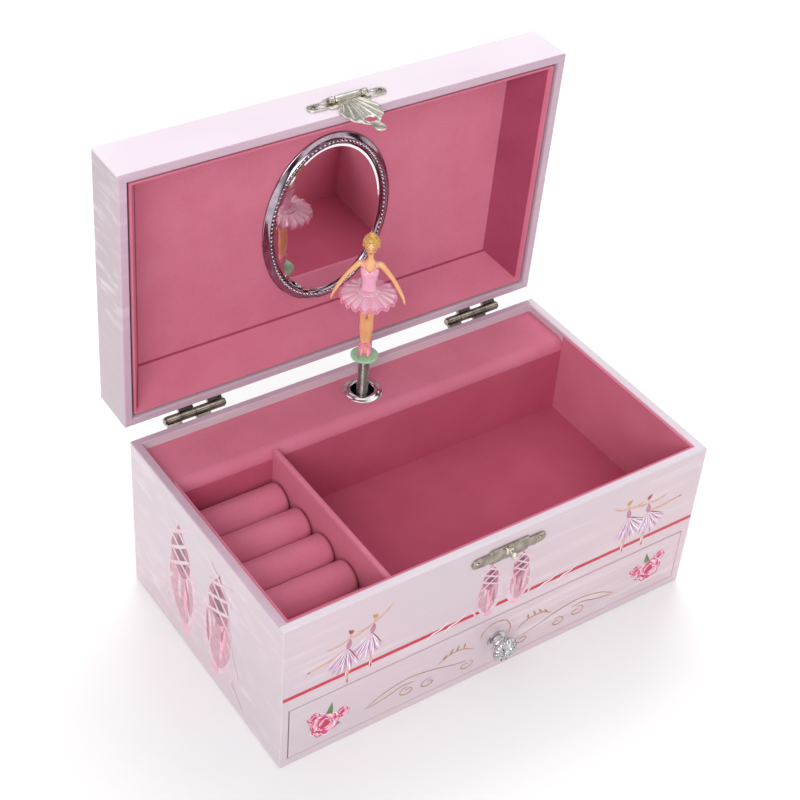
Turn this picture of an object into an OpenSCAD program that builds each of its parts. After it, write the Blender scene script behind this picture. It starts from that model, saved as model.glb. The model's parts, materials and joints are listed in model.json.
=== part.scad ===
// Musical jewellery box with a turning dancer.
// A papered board case holds a drawer, a ring tray and a main compartment. A housing
// across the back hides the movement, whose barrel turns the pinned cylinder, the
// governor and an upright shaft. The dancer stands on a spring above that shaft and
// folds forward under the lid. Everything is drawn with the lid open and the drawer shut.
// X runs to the right, -Y is the front, and the underside of the case is at Z = 0.

/* [Case] */
// Outside width of the case
case_w = 220; // [200:1:280]
// Outside depth of the case
case_d = 130; // [118:1:170]
// Height of the lower case, up to the joint with the lid
base_h = 83; // [76:1:110]
// Outside height of the lid
lid_h = 24; // [22:1:40]
// Thickness of the case, lid and drawer-front boards
board_t = 4; // [3:0.5:5]
// Thickness of velvet-covered card
card_t = 1.2; // [0.8:0.1:2]
// Angle that the lid stands open at, set by the hinge stops
lid_open = 88; // [80:1:100]
// Gap that the paper leaves in the joint between the case and the lid
rim_gap = 0.3; // [0.1:0.1:1]

/* [Drawer] */
// Height of the drawer opening
drawer_h = 30; // [22:1:36]
// Gap all round the drawer front
drawer_gap = 0.4; // [0.2:0.1:1]
// Thickness of the drawer's sides, back and bottom
drawer_wall = 2.5; // [2:0.5:4]
// Space between the drawer's back and the movement housing
drawer_back_space = 3; // [1:0.5:20]
// Thickness of the shelf above the drawer
shelf_t = 3.5; // [2.5:0.5:5]
// Diameter of the knob's face
knob_d = 13; // [9:0.5:18]
// How far the knob stands out
knob_l = 10; // [7:0.5:16]

/* [Trays] */
// Height of the rim above the velvet ledge
ledge_drop = 4; // [2:0.5:8]
// Depth of the movement housing under the ledge
housing_d = 28; // [28:1:36]
// Thickness of the housing boards
housing_t = 3; // [2:0.5:4]
// Inside width of the ring tray
ring_tray_w = 48; // [34:1:70]
// Thickness of the divider beside the ring tray
divider_t = 3; // [2:0.5:5]
// Height of the ledge above the tops of the ring rolls
roll_drop = 12; // [6:1:16]
// Gap between one ring roll and the next
roll_gap = 0.4; // [0.3:0.1:1.5]

/* [Hardware] */
// Length of each hinge
hinge_l = 29; // [20:1:40]
// Distance from the case's side to the middle of a hinge
hinge_inset = 34; // [24:1:60]
// Distance of the hinge axis behind the case
hinge_off = 4; // [3.6:0.2:6]
// Diameter of the hinge knuckles
knuckle_d = 4.2; // [3.6:0.2:5]
// Diameter of the hinge pins
hinge_pin_d = 1.6; // [1.2:0.1:2]
// Radial clearance of a pin or shaft in its hole
running_fit = 0.05; // [0.02:0.01:0.1]
// Thickness of the hinge, hasp and catch plates
plate_t = 0.8; // [0.6:0.1:1.2]
// Length of the hasp and catch plates
hasp_plate_l = 39; // [36:1:50]
// Height of the hasp's pivot above the joint
hasp_pivot_h = 9.5; // [7:0.5:12]
// Distance from the hasp's pivot to its hole
hasp_reach = 18.7; // [17:0.1:22]
// Diameter of the hole in the hasp
hasp_hole_d = 5.2; // [4.8:0.1:7]
// Diameter of the catch stud's knob
stud_d = 3.6; // [3:0.1:4.2]

/* [Mirror] */
// Width of the oval mirror frame
mirror_w = 66; // [50:1:80]
// Height of the oval mirror frame
mirror_h = 88; // [60:1:92]
// Width of the frame's band around the glass
mirror_band = 5; // [3:0.5:8]
// Thickness of the frame at its raised ring
mirror_t = 3.4; // [2.4:0.2:4]

/* [Movement] */
// Depth of the barrel's centre below the ledge
barrel_drop = 33; // [33:1:34]
// Diameter of the spring barrel
barrel_d = 21; // [18:0.5:21]
// Diameter of the pinned cylinder
cylinder_d = 12; // [10:0.5:12]
// Length of the pinned cylinder
cylinder_l = 29; // [24:1:34]
// Diameter of the winding arbor
arbor_d = 4; // [3:0.5:5]
// Width of the winding key's bow
key_w = 24; // [16:1:30]
// Hole in the eyelet that the spring stands in
eyelet_hole_d = 10.6; // [8:0.2:12]
// Outside diameter of the eyelet
eyelet_d = 18.4; // [14:0.2:22]

/* [Dancer] */
// Height of the green stand's underside above the ledge
stand_h = 20; // [17:1:24]
// Diameter of the green stand
stand_d = 12.8; // [9:0.2:13]
// Outside diameter of the spring
spring_d = 5.4; // [4.4:0.2:6]
// Height of the spring's bend above the ledge
bend_h = 10; // [9:0.5:12]
// Height of the figure above its stand
figure_h = 67; // [50:1:70]
// Diameter of the tutu
tutu_d = 26; // [18:1:28]
// Way the dancer faces at rest, turned from straight ahead
facing = -37; // [-180:1:180]

/* [Hidden] */
$fn = 48;

paper = "#dccbd9";
velvet = "#c8648b";
nickel = "#c9c9cc";
brass = "#c8a452";
steel = "#9fa3a8";
flesh = "#e8ab7c";

// Case faces and levels
in_x = case_w / 2 - board_t;
front_y = -case_d / 2;
front_in = front_y + board_t;
back_in = case_d / 2 - board_t;
drawer_top = board_t + drawer_h;
shelf_top = drawer_top + shelf_t;
floor_z = shelf_top + card_t;
ledge_z = base_h - ledge_drop;
housing_y = back_in - housing_d;
ledge_edge_r = 5;
card_top = base_h - 0.8;

// Ring tray
divider_x = -in_x + card_t + ring_tray_w;
tray_front = front_in + card_t;
roll_pitch = (housing_y - tray_front) / 5;
roll_w = roll_pitch - roll_gap;
roll_top = ledge_z - roll_drop;

// Drawer
drawer_side_gap = 0.6;
drawer_lift = 0.3;
drawer_x = in_x - drawer_gap - drawer_side_gap;
drawer_z = board_t + drawer_lift;
drawer_end = housing_y - drawer_back_space;
drawer_side_top = drawer_top - 4;
knob_z = board_t + drawer_h / 2;
knob_flute_r = 1.6;
knob_screw_head_r = 3;

// Lid, in its closed place
hinge_y = case_d / 2 + hinge_off;
hinge_x = case_w / 2 - hinge_inset;
lid_z = base_h + rim_gap;
lid_deck = base_h + lid_h - board_t;
lining_gap = 1;
lining_slope = 11;
lining_under = lid_deck - 1;

// Hinge knuckles
knuckle_gap = 0.25;
knuckle_l = hinge_l / 4;
leaf_h = 11;
leaf_t = 1;
nail_r = 0.5;
nail_head_r = 1.1;
nail_l = 3;
nail_fit = 0.03;
leaf_nail_x = 9;
leaf_nail_z = leaf_h / 2 + 3;

// Hasp
hasp_z = base_h + hasp_pivot_h;
hasp_barrel_r = 1.4;
hasp_pin_r = 0.7;
hasp_y = front_y - plate_t - hasp_barrel_r - 0.15;
hasp_barrel_l = 13;
shell_y = front_y - plate_t - 0.3;
catch_z = hasp_z - hasp_reach;
nail_x = hasp_plate_l / 2 - 3;
plate_h = 8;
plate_end_r = 2.8;
hasp_lug_x = hasp_barrel_l / 2 + 1.5;
hasp_lug_half = 1.2;
mount_window_x = 12.3;
mount_window_r = 1.6;
stud_rivet_r = 1;

// Movement: depths are measured forward from the back panel's inside face
bedplate_t = 2;
plate_front = back_in - bedplate_t;
barrel_l = 11.8;
drum_wall = 0.8;
crown_t = 1.4;
crown_tooth_h = 1.2;
barrel_z = ledge_z - barrel_drop;
barrel_r = barrel_d / 2;
barrel_back = plate_front - 0.6;
barrel_front = barrel_back - barrel_l;
shaft_y = back_in - 12;
tooth_clear = 0.15;
crown_r = 13.4;
crown_in = 11;
pinion_r = 3.2;
crown_tip = shaft_y + pinion_r + tooth_clear;
cylinder_y = back_in - 15;
wheel_r = crown_tip - tooth_clear - cylinder_y;
pin_h = 0.45;
arbor_r = arbor_d / 2;
// Along X, from the barrel to the governor
wheel_x = 11.4;
wheel_t = 1.6;
bracket_x1 = 14;
bracket_t = 1.5;
cyl_x = bracket_x1 + bracket_t + 1;
bracket_x2 = cyl_x + cylinder_l + 1;
end_wheel_x = bracket_x2 + bracket_t + 1;
idler_pinion_r = 2;
idler_wheel_r = 5;
idler_arbor_r = 0.7;
cylinder_arbor_r = 1;
worm_arbor_r = 0.6;
pin_tracks = 18;
track_margin = 1.5;
track_pitch = (cylinder_l - 2 * track_margin) / (pin_tracks - 1);
idler_z = barrel_z + wheel_r + idler_pinion_r + tooth_clear;
worm_wheel_x = end_wheel_x + wheel_t + 1.5;
outer_bracket_x = worm_wheel_x + wheel_t + 1;
worm_r = 1.8;
worm_x = worm_wheel_x + wheel_t / 2;
worm_y = cylinder_y + idler_wheel_r + worm_r + tooth_clear;
fan_r = 4.5;
fan_z = idler_z + 7;
governor_top = fan_z + 8;
plate_x1 = -16;
plate_x2 = outer_bracket_x + 9;
plate_z1 = barrel_z - 25;
plate_z2 = barrel_z + 16;
comb_z = barrel_z - cylinder_d / 2 - pin_h - 0.1;
comb_l = 16;
comb_block_h = 9;
comb_screw_x = [cyl_x + 6, cyl_x + cylinder_l - 6];
comb_screw_z = comb_z - comb_l + comb_block_h / 2;
mount_screws = [[-12, -20], [plate_x2 - 4, -20], [26, 12]];
key_y = case_d / 2 + 1;
key_hub_l = 10;
screw_r = 1.3;

// Eyelet, shaft and spring
eyelet_wall = 0.6;
board_hole_r = eyelet_hole_d / 2 + eyelet_wall;
pinion_z = barrel_z + crown_in + 0.3;
shaft_r = 1.2;
lug_z1 = pinion_z + 3;
lug_z2 = lug_z1 + 9;
collar_z = lug_z2 + 1.7;
bend_z = ledge_z + bend_h;
spring_r = spring_d / 2;
wire_d = 0.9;
foot_top = bend_z - spring_r - 0.8;
stand_z = ledge_z + stand_h;
stand_t = 1.6;
spring_end = stand_z - 0.2;
figure_z = stand_z + stand_t;
figure_k = figure_h / 67;

// Axis helpers
module along_y(x, y, z) { translate([x, y, z]) rotate([-90, 0, 0]) children(); }
module along_x(x, y, z) { translate([x, y, z]) rotate([0, 90, 0]) children(); }
module block(x1, x2, y1, y2, z1, z2) {
  translate([x1, y1, z1]) cube([x2 - x1, y2 - y1, z2 - z1]);
}
// A 2D outline of X and Z, standing in a plane of constant Y and thickened forward
module upright(y, t) { translate([0, y, 0]) rotate([90, 0, 0]) linear_extrude(t) children(); }
module at_dancer(z) { translate([0, shaft_y, z]) children(); }
// Turns what is drawn in the closed lid's place to where the open lid stands
module lid_pose() {
  translate([0, hinge_y, base_h]) rotate([-lid_open, 0, 0])
    translate([0, -hinge_y, -base_h]) children();
}
module nail(y, dir) {
  // Shank runs into the board along dir, the head stays outside the plate
  translate([0, y, 0]) rotate([-90 * dir, 0, 0]) {
    cylinder(r = nail_r, h = nail_l);
    translate([0, 0, -0.5]) cylinder(r1 = nail_head_r * 0.6, r2 = nail_head_r, h = 0.5);
  }
}
module nail_hole(y, dir, l) {
  translate([0, y, 0]) rotate([-90 * dir, 0, 0])
    translate([0, 0, -0.1]) cylinder(r = nail_r + nail_fit, h = l + 0.1);
}
module oval(w, h) {
  polygon([for (i = [0 : 71]) [w / 2 * cos(i * 5), h / 2 * sin(i * 5)]]);
}
// A limb through points [x, y, z, radius]: tapered rods with a slightly fuller joint at each
module limb(points) {
  joint = 0.08;
  for (i = [0 : len(points) - 2]) {
    p = points[i];
    q = points[i + 1];
    d = [q.x - p.x, q.y - p.y, q.z - p.z];
    l = norm(d);
    translate([p.x, p.y, p.z]) rotate([0, acos(d.z / l), atan2(d.y, d.x)])
      cylinder(r1 = p[3], r2 = q[3], h = l, $fn = 24);
    translate([q.x, q.y, q.z]) sphere(r = q[3] + joint, $fn = 24);
  }
}
// Teeth of a small wheel: a disc with square teeth out to r
module wheel_2d(r, teeth, tooth_h) {
  circle(r = r - tooth_h);
  for (i = [0 : teeth - 1]) rotate(i * 360 / teeth)
    translate([0, -r * PI / teeth / 2]) square([r, r * PI / teeth]);
}

// ---- Case
module left_side_panel() {
  color(paper) block(-case_w / 2, -in_x, front_y, case_d / 2, 0, base_h);
}
module right_side_panel() {
  color(paper) block(in_x, case_w / 2, front_y, case_d / 2, 0, base_h);
}
module back_panel() {
  color(paper) difference() {
    block(-in_x, in_x, back_in, case_d / 2, 0, base_h);
    along_y(0, back_in - 1, barrel_z) cylinder(r = arbor_r + 2, h = board_t + 2);
    for (s = mount_screws) along_y(s[0], back_in - 1, barrel_z + s[1])
      cylinder(r = screw_r + 0.2, h = board_t + 2);
    hinge_nail_places() translate([0, 0, base_h - leaf_nail_z])
      nail_hole(case_d / 2, -1, nail_l);
  }
}
module front_panel() {
  color(paper) difference() {
    block(-in_x, in_x, front_y, front_in, drawer_top, base_h);
    for (x = [-nail_x, nail_x]) translate([x, 0, catch_z]) nail_hole(front_y, 1, nail_l);
    along_y(0, front_y - 1, catch_z) cylinder(r = stud_rivet_r + nail_fit, h = 3.5);
  }
}
module bottom_panel() {
  color(paper) block(-in_x, in_x, front_y, back_in, 0, board_t);
}
module drawer_shelf() {
  color(paper) block(-in_x, in_x, front_in, housing_y, drawer_top, shelf_top);
}

// ---- Movement housing
module housing_front() {
  color(velvet) block(-in_x, in_x, housing_y, housing_y + housing_t,
                      board_t, ledge_z - ledge_edge_r);
}
// The ledge, whose front edge is bent down to meet the front board
module housing_top() {
  r = ledge_edge_r;
  color(velvet) difference() {
    translate([-in_x, 0, 0]) rotate([90, 0, 90]) linear_extrude(2 * in_x) {
      translate([housing_y + r, ledge_z - housing_t]) square([housing_d - r, housing_t]);
      translate([housing_y + r, ledge_z - r]) intersection() {
        difference() {
          circle(r = r);
          circle(r = r - housing_t);
        }
        translate([-r, 0]) square(r);
      }
    }
    at_dancer(ledge_z - housing_t - 1) cylinder(r = board_hole_r, h = housing_t + 2);
  }
}

// ---- Trays
module divider() {
  r = divider_t / 2;
  color(velvet) translate([divider_x + r, housing_y, 0]) rotate([90, 0, 0])
    linear_extrude(housing_y - tray_front) {
      translate([-r, floor_z]) square([divider_t, ledge_z - r - floor_z]);
      translate([0, ledge_z - r]) circle(r = r);
    }
}
module tray_floor_card() {
  color(velvet) block(-in_x, in_x, front_in, housing_y, shelf_top, floor_z);
}
module wall_cards() {
  color(velvet) {
    block(-in_x, -in_x + card_t, front_in, housing_y, floor_z, card_top);
    block(in_x - card_t, in_x, front_in, housing_y, floor_z, card_top);
    block(-in_x + card_t + 0.05, in_x - card_t - 0.05, front_in, tray_front - 0.05,
          floor_z, card_top);
  }
}
module ring_roll(i) {
  r = roll_w / 2;
  y = housing_y - (i - 0.5) * roll_pitch;
  color(velvet) translate([-in_x + card_t + roll_gap, y, 0]) rotate([90, 0, 90])
    linear_extrude(ring_tray_w - 2 * roll_gap) {
      translate([-r, floor_z]) square([roll_w, roll_top - r - floor_z]);
      translate([0, roll_top - r]) circle(r = r);
    }
}

// ---- Lid
module lid_top_board() {
  color(paper) lid_pose()
    block(-case_w / 2, case_w / 2, front_y, case_d / 2, lid_deck, base_h + lid_h);
}
module lid_front_rail() {
  color(paper) lid_pose() difference() {
    block(-case_w / 2, case_w / 2, front_y, front_in, lid_z, lid_deck);
    for (x = [-nail_x, nail_x]) translate([x, 0, hasp_z]) nail_hole(front_y, 1, nail_l);
  }
}
module lid_back_rail() {
  color(paper) lid_pose() difference() {
    block(-case_w / 2, case_w / 2, back_in, case_d / 2, lid_z, lid_deck);
    hinge_nail_places() translate([0, 0, base_h + leaf_nail_z])
      nail_hole(case_d / 2, -1, nail_l);
  }
}
module lid_left_rail() {
  color(paper) lid_pose() block(-case_w / 2, -in_x, front_in, back_in, lid_z, lid_deck);
}
module lid_right_rail() {
  color(paper) lid_pose() block(in_x, case_w / 2, front_in, back_in, lid_z, lid_deck);
}
// A folded card tray whose four flaps slope from the rim to the lid's underside
module lid_frustum(grow, z1, z2) {
  x1 = in_x - lining_gap + grow;
  y1 = back_in - lining_gap + grow;
  hull() {
    block(-x1, x1, -y1, y1, z1, z1 + 0.01);
    block(-x1 + lining_slope, x1 - lining_slope, -y1 + lining_slope, y1 - lining_slope,
          z2 - 0.01, z2);
  }
}
module lid_lining() {
  color(velvet) lid_pose() difference() {
    lid_frustum(0, lid_z + 0.7, lid_deck);
    lid_frustum(-1.15, lid_z + 0.69, lining_under);
  }
}
module mirror_frame() {
  color(nickel) lid_pose() translate([0, 0, lining_under]) mirror([0, 0, 1]) {
    linear_extrude(1.2) difference() {
      oval(mirror_w, mirror_h);
      oval(mirror_w - 2 * mirror_band, mirror_h - 2 * mirror_band);
    }
    translate([0, 0, 1.2]) linear_extrude(mirror_t - 1.2) difference() {
      oval(mirror_w - mirror_band, mirror_h - mirror_band);
      oval(mirror_w - 2 * mirror_band, mirror_h - 2 * mirror_band);
    }
  }
}
module mirror_glass() {
  color("#dfe6ea") lid_pose() translate([0, 0, lining_under]) mirror([0, 0, 1])
    linear_extrude(1.5)
      oval(mirror_w - 2 * mirror_band - 0.1, mirror_h - 2 * mirror_band - 0.1);
}

// ---- Hinges
module hinge_places() { for (x = [-hinge_x, hinge_x]) translate([x, 0, 0]) children(); }
module hinge_nail_places() {
  hinge_places() for (x = [-leaf_nail_x, leaf_nail_x]) translate([x, 0, 0]) children();
}
// One leaf below the joint, with its two knuckles; the lid's leaf is this one upside down
module hinge_leaf(first) {
  knuckle_r = knuckle_d / 2;
  translate([0, 0, base_h]) difference() {
    union() {
      block(-hinge_l / 2, hinge_l / 2, case_d / 2, case_d / 2 + leaf_t, -leaf_h, -3);
      for (i = [first, first + 2]) {
        x = -hinge_l / 2 + i * knuckle_l + knuckle_gap / 2;
        l = knuckle_l - knuckle_gap;
        along_x(x, hinge_y, 0) cylinder(r = knuckle_r, h = l);
        translate([x, 0, 0]) rotate([90, 0, 90]) linear_extrude(l)
          polygon([[case_d / 2, -4.5], [case_d / 2 + leaf_t, -4.5], [hinge_y + 0.6, -1.4],
                   [hinge_y - 1.4, -0.6], [case_d / 2, -3]]);
      }
    }
    along_x(-hinge_l / 2 - 1, hinge_y, 0)
      cylinder(r = hinge_pin_d / 2 + running_fit, h = hinge_l + 2);
    for (x = [-leaf_nail_x, leaf_nail_x]) translate([x, 0, -leaf_nail_z])
      nail_hole(case_d / 2 + leaf_t, -1, 3);
  }
}
module case_hinge_leaves() { color(nickel) hinge_places() hinge_leaf(0); }
module lid_hinge_leaves() {
  color(nickel) lid_pose() hinge_places()
    translate([0, 0, 2 * base_h]) mirror([0, 0, 1]) hinge_leaf(1);
}
module hinge_pins() {
  color(nickel) hinge_places() {
    along_x(-hinge_l / 2, hinge_y, base_h) cylinder(d = hinge_pin_d, h = hinge_l);
    for (s = [-1, 1]) along_x(s * (hinge_l / 2 + 0.35) - 0.35, hinge_y, base_h)
      cylinder(r = knuckle_d / 2 - 0.5, h = 0.7);
  }
}
module case_nails() {
  color(nickel) {
    hinge_nail_places() translate([0, 0, base_h - leaf_nail_z]) nail(case_d / 2 + leaf_t, -1);
    for (x = [-nail_x, nail_x]) translate([x, 0, catch_z]) nail(front_y - plate_t, 1);
  }
}
module lid_nails() {
  color(nickel) lid_pose() {
    hinge_nail_places() translate([0, 0, base_h + leaf_nail_z]) nail(case_d / 2 + leaf_t, -1);
    for (x = [-nail_x, nail_x]) translate([x, 0, hasp_z]) nail(front_y - plate_t, 1);
  }
}

// ---- Hasp and catch
module plate_outline() {
  end_r = plate_end_r;
  square([hasp_plate_l - 14, plate_h], center = true);
  square([hasp_plate_l - 2 * end_r, 2 * end_r], center = true);
  for (s = [-1, 1]) {
    translate([s * (hasp_plate_l / 2 - end_r), 0]) circle(r = end_r);
    translate([s * (hasp_plate_l / 2 - 7), 0]) circle(r = plate_h / 2);
  }
}
module hasp_mount() {
  color(nickel) lid_pose() difference() {
    union() {
      translate([0, 0, hasp_z]) upright(front_y, plate_t) plate_outline();
      for (s = [-1, 1]) {
        x1 = s * hasp_lug_x - hasp_lug_half;
        x2 = s * hasp_lug_x + hasp_lug_half;
        along_x(x1, hasp_y, hasp_z) cylinder(r = hasp_barrel_r, h = x2 - x1);
        block(x1, x2, hasp_y, front_y - plate_t / 2,
              hasp_z - 0.2, hasp_z + hasp_barrel_r - 0.1);
      }
    }
    along_x(-12, hasp_y, hasp_z) cylinder(r = hasp_pin_r + running_fit, h = 24);
    for (x = [-nail_x, nail_x]) translate([x, 0, hasp_z]) nail_hole(front_y - plate_t, 1, 2);
    for (x = [-mount_window_x, mount_window_x]) along_y(x, front_y - plate_t - 1, hasp_z)
      cylinder(r = mount_window_r, h = plate_t + 2);
  }
}
module hasp_pin() {
  l = hasp_barrel_l + 5.4;
  color(nickel) lid_pose() {
    along_x(-l / 2, hasp_y, hasp_z) cylinder(r = hasp_pin_r, h = l);
    for (s = [-1, 1]) along_x(s * (l / 2 + 0.25) - 0.25, hasp_y, hasp_z)
      cylinder(r = hasp_pin_r + 0.4, h = 0.5);
  }
}
// Scallop-shell plate: a flared fan with five lobes and a finger tab below the hole
module hasp_shell() {
  hole_z = -hasp_reach;
  color(nickel) lid_pose() translate([0, 0, hasp_z]) difference() {
    union() {
      along_x(-hasp_barrel_l / 2 + 0.3, hasp_y, 0) cylinder(r = hasp_barrel_r, h = hasp_barrel_l - 0.6);
      upright(shell_y, plate_t) {
        translate([-5.5, -5]) square([11, 5]);
        polygon([[-5.5, -4.5], [5.5, -4.5], [8.5, hole_z + 8], [9.5, hole_z + 3],
                 [4, hole_z - 4], [-4, hole_z - 4], [-9.5, hole_z + 3], [-8.5, hole_z + 8]]);
        for (a = [-62 : 31 : 62]) translate([8 * sin(a), hole_z + 3.4 - 7.4 * cos(a)])
          circle(r = 2.9);
        translate([0, hole_z - 6.4]) circle(r = 2.8);
      }
    }
    along_x(-12, hasp_y, 0) cylinder(r = hasp_pin_r + running_fit, h = 24);
    along_y(0, shell_y - plate_t - 1, hole_z) cylinder(d = hasp_hole_d, h = plate_t + 2);
  }
}
module catch_plate() {
  color(nickel) difference() {
    translate([0, 0, catch_z]) upright(front_y, plate_t) plate_outline();
    for (x = [-nail_x, nail_x]) translate([x, 0, catch_z]) nail_hole(front_y - plate_t, 1, 2);
    along_y(0, front_y - plate_t - 1, catch_z)
      cylinder(r = stud_rivet_r + nail_fit, h = plate_t + 2);
  }
}
// Riveted stud with a rounded head and a smaller button on it
module catch_stud() {
  color(nickel) along_y(0, front_y - plate_t, catch_z) mirror([0, 0, 1]) {
    translate([0, 0, -plate_t - 2]) cylinder(r = stud_rivet_r, h = plate_t + 2.5);
    cylinder(r = 1.5, h = 0.3);
    translate([0, 0, 0.3]) cylinder(r = 1.2, h = 1.4);
    translate([0, 0, 1.6]) rotate_extrude() intersection() {
      union() {
        translate([0, 0.9]) circle(d = stud_d * 0.97);
        translate([0, 2.3]) circle(r = stud_d * 0.36);
      }
      square([stud_d / 2, 4]);
    }
  }
}

// ---- Drawer
module drawer_front() {
  color(paper) difference() {
    block(-in_x + drawer_gap, in_x - drawer_gap, front_y, front_in,
          board_t + drawer_gap, drawer_top - drawer_gap);
    along_y(0, front_y - 1, knob_z) cylinder(r = screw_r + 0.2, h = board_t + 2);
  }
}
module drawer_side(x) {
  block(x, x + drawer_wall, front_in, drawer_end, drawer_z, drawer_side_top);
}
module drawer_left_side() { color(paper) drawer_side(-drawer_x); }
module drawer_right_side() { color(paper) drawer_side(drawer_x - drawer_wall); }
module drawer_back() {
  x = drawer_x - drawer_wall;
  color(paper) block(-x, x, drawer_end - drawer_wall, drawer_end, drawer_z, drawer_side_top);
}
module drawer_bottom() {
  x = drawer_x - drawer_wall;
  color(paper) block(-x, x, front_in, drawer_end - drawer_wall, drawer_z, drawer_z + drawer_wall);
}
module drawer_lining() {
  x = drawer_x - drawer_wall;
  z = drawer_z + drawer_wall;
  y2 = drawer_end - drawer_wall;
  color(velvet) difference() {
    block(-x, x, front_in, y2, z, drawer_side_top - 1);
    block(-x + card_t, x - card_t, front_in + card_t, y2 - card_t, z + card_t, drawer_top);
    // Room for the head of the knob's screw
    along_y(0, front_in - 1, knob_z) cylinder(r = knob_screw_head_r + 1, h = card_t + 2);
  }
}
module drawer_knob() {
  color(nickel) along_y(0, front_y, knob_z) mirror([0, 0, 1]) difference() {
    rotate_extrude() polygon([
      [0, 0], [knob_d * 0.36, 0], [knob_d * 0.36, 0.8], [knob_d * 0.23, 1.8],
      [knob_d * 0.23, knob_l * 0.4], [knob_d * 0.38, knob_l * 0.56],
      [knob_d / 2, knob_l * 0.72], [knob_d / 2 - 0.6, knob_l * 0.86],
      [knob_d * 0.26, knob_l], [0, knob_l]]);
    translate([0, 0, -1]) cylinder(r = screw_r + nail_fit, h = 6);
    // Eight scallops round the rim
    for (a = [0 : 45 : 315]) rotate(a) translate([knob_d / 2 + 0.9, 0, knob_l * 0.45])
      cylinder(r = knob_flute_r, h = knob_l);
  }
}
module knob_screw() {
  color(steel) along_y(0, front_in, knob_z) {
    cylinder(r = knob_screw_head_r, h = 1);
    translate([0, 0, -board_t - 4]) cylinder(r = screw_r, h = board_t + 4.5);
  }
}

// ---- Movement
module bedplate() {
  color(brass) difference() {
    union() {
      block(plate_x1, plate_x2, plate_front, back_in, plate_z1, plate_z2);
      // Tongue and two lugs that carry the dancer's upright shaft
      block(-5, 5, plate_front, back_in, plate_z2, lug_z2 + 1.5);
      for (z = [lug_z1, lug_z2]) block(-4, 4, shaft_y - 3, plate_front, z, z + 1.5);
      // Bearing arms of the pinned cylinder and of the governor's idler
      for (x = [bracket_x1, bracket_x2, outer_bracket_x])
        block(x, x + bracket_t, cylinder_y - 3, plate_front, barrel_z - 3, barrel_z + 3);
      for (x = [bracket_x2, outer_bracket_x])
        block(x, x + bracket_t, cylinder_y - 3, plate_front, barrel_z, idler_z + 2.5);
      // Raised block that the comb is screwed to
      block(cyl_x, cyl_x + cylinder_l, cylinder_y + 0.5, plate_front,
            comb_z - comb_l, comb_z - comb_l + comb_block_h);
    }
    along_y(0, plate_front - 1, barrel_z) cylinder(r = arbor_r + running_fit, h = 4);
    at_dancer(lug_z1 - 1) cylinder(r = shaft_r + running_fit, h = 15);
    along_x(bracket_x1 - 1, cylinder_y, barrel_z)
      cylinder(r = cylinder_arbor_r + running_fit, h = bracket_x2 - bracket_x1 + bracket_t + 2);
    along_x(bracket_x2 - 1, cylinder_y, idler_z)
      cylinder(r = idler_arbor_r + running_fit, h = outer_bracket_x - bracket_x2 + bracket_t + 2);
    for (s = mount_screws) along_y(s[0], plate_front - 1, barrel_z + s[1])
      cylinder(r = screw_r + nail_fit, h = 4);
    for (x = comb_screw_x) along_y(x, cylinder_y, comb_screw_z)
      cylinder(r = screw_r + nail_fit, h = 8);
  }
}
module barrel_drum() {
  drum_h = barrel_back - barrel_front;
  rim_z = crown_tip + crown_tooth_h - barrel_front;
  color(brass) along_y(0, barrel_front, barrel_z) {
    difference() {
      union() {
        cylinder(r = barrel_r, h = drum_h);
        translate([0, 0, rim_z]) cylinder(r = crown_r, h = crown_t);
      }
      translate([0, 0, 1]) cylinder(r = barrel_r - drum_wall, h = drum_h - 1.8);
      translate([0, 0, -1]) cylinder(r = arbor_r + running_fit, h = drum_h + 2);
    }
    // Crown teeth on the front of the rim
    translate([0, 0, rim_z - crown_tooth_h]) linear_extrude(crown_tooth_h + 0.05) for (i = [0 : 39])
      rotate(i * 9) translate([crown_in, -0.45]) square([crown_r - crown_in - 0.1, 0.9]);
  }
}
// The coiled strip, wound out from the arbor to the drum's wall
module mainspring() {
  turns = 7;
  steps = turns * 24;
  in_r = arbor_r + 0.8;
  out_r = barrel_r - 1.3;
  strip = 0.35;
  function arm(i, off) = let (r = in_r + (out_r - in_r) * i / steps + off)
    [r * cos(i * 15), r * sin(i * 15)];
  color(steel) along_y(0, barrel_front + 1.6, barrel_z) linear_extrude(8.8)
    polygon(concat([for (i = [0 : steps]) arm(i, 0)], [for (i = [steps : -1 : 0]) arm(i, strip)]));
}
module winding_arbor() {
  color(steel) along_y(0, barrel_front - 0.8, barrel_z) {
    cylinder(r = arbor_r, h = case_d / 2 + 9 - barrel_front);
    cylinder(r = arbor_r + 1, h = 0.6);
  }
}
module winding_key() {
  bow_y = 15;
  color(brass) along_y(0, key_y, barrel_z) {
    difference() {
      union() {
        cylinder(r = arbor_r + 1.4, h = key_hub_l);
        // Flat bow with a finger hole on each side of the shank
        rotate([90, 0, 0]) translate([0, bow_y - 3, -1]) linear_extrude(2) difference() {
          union() {
            for (s = [-1, 1]) translate([s * (key_w / 2 - 5.5), 0]) circle(r = 5.5);
            square([key_w - 11, 8], center = true);
          }
          for (s = [-1, 1]) translate([s * (key_w / 2 - 5.5), 0]) circle(r = 3);
        }
      }
      translate([0, 0, -1]) cylinder(r = arbor_r + nail_fit, h = key_hub_l - 0.7);
    }
  }
}

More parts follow.
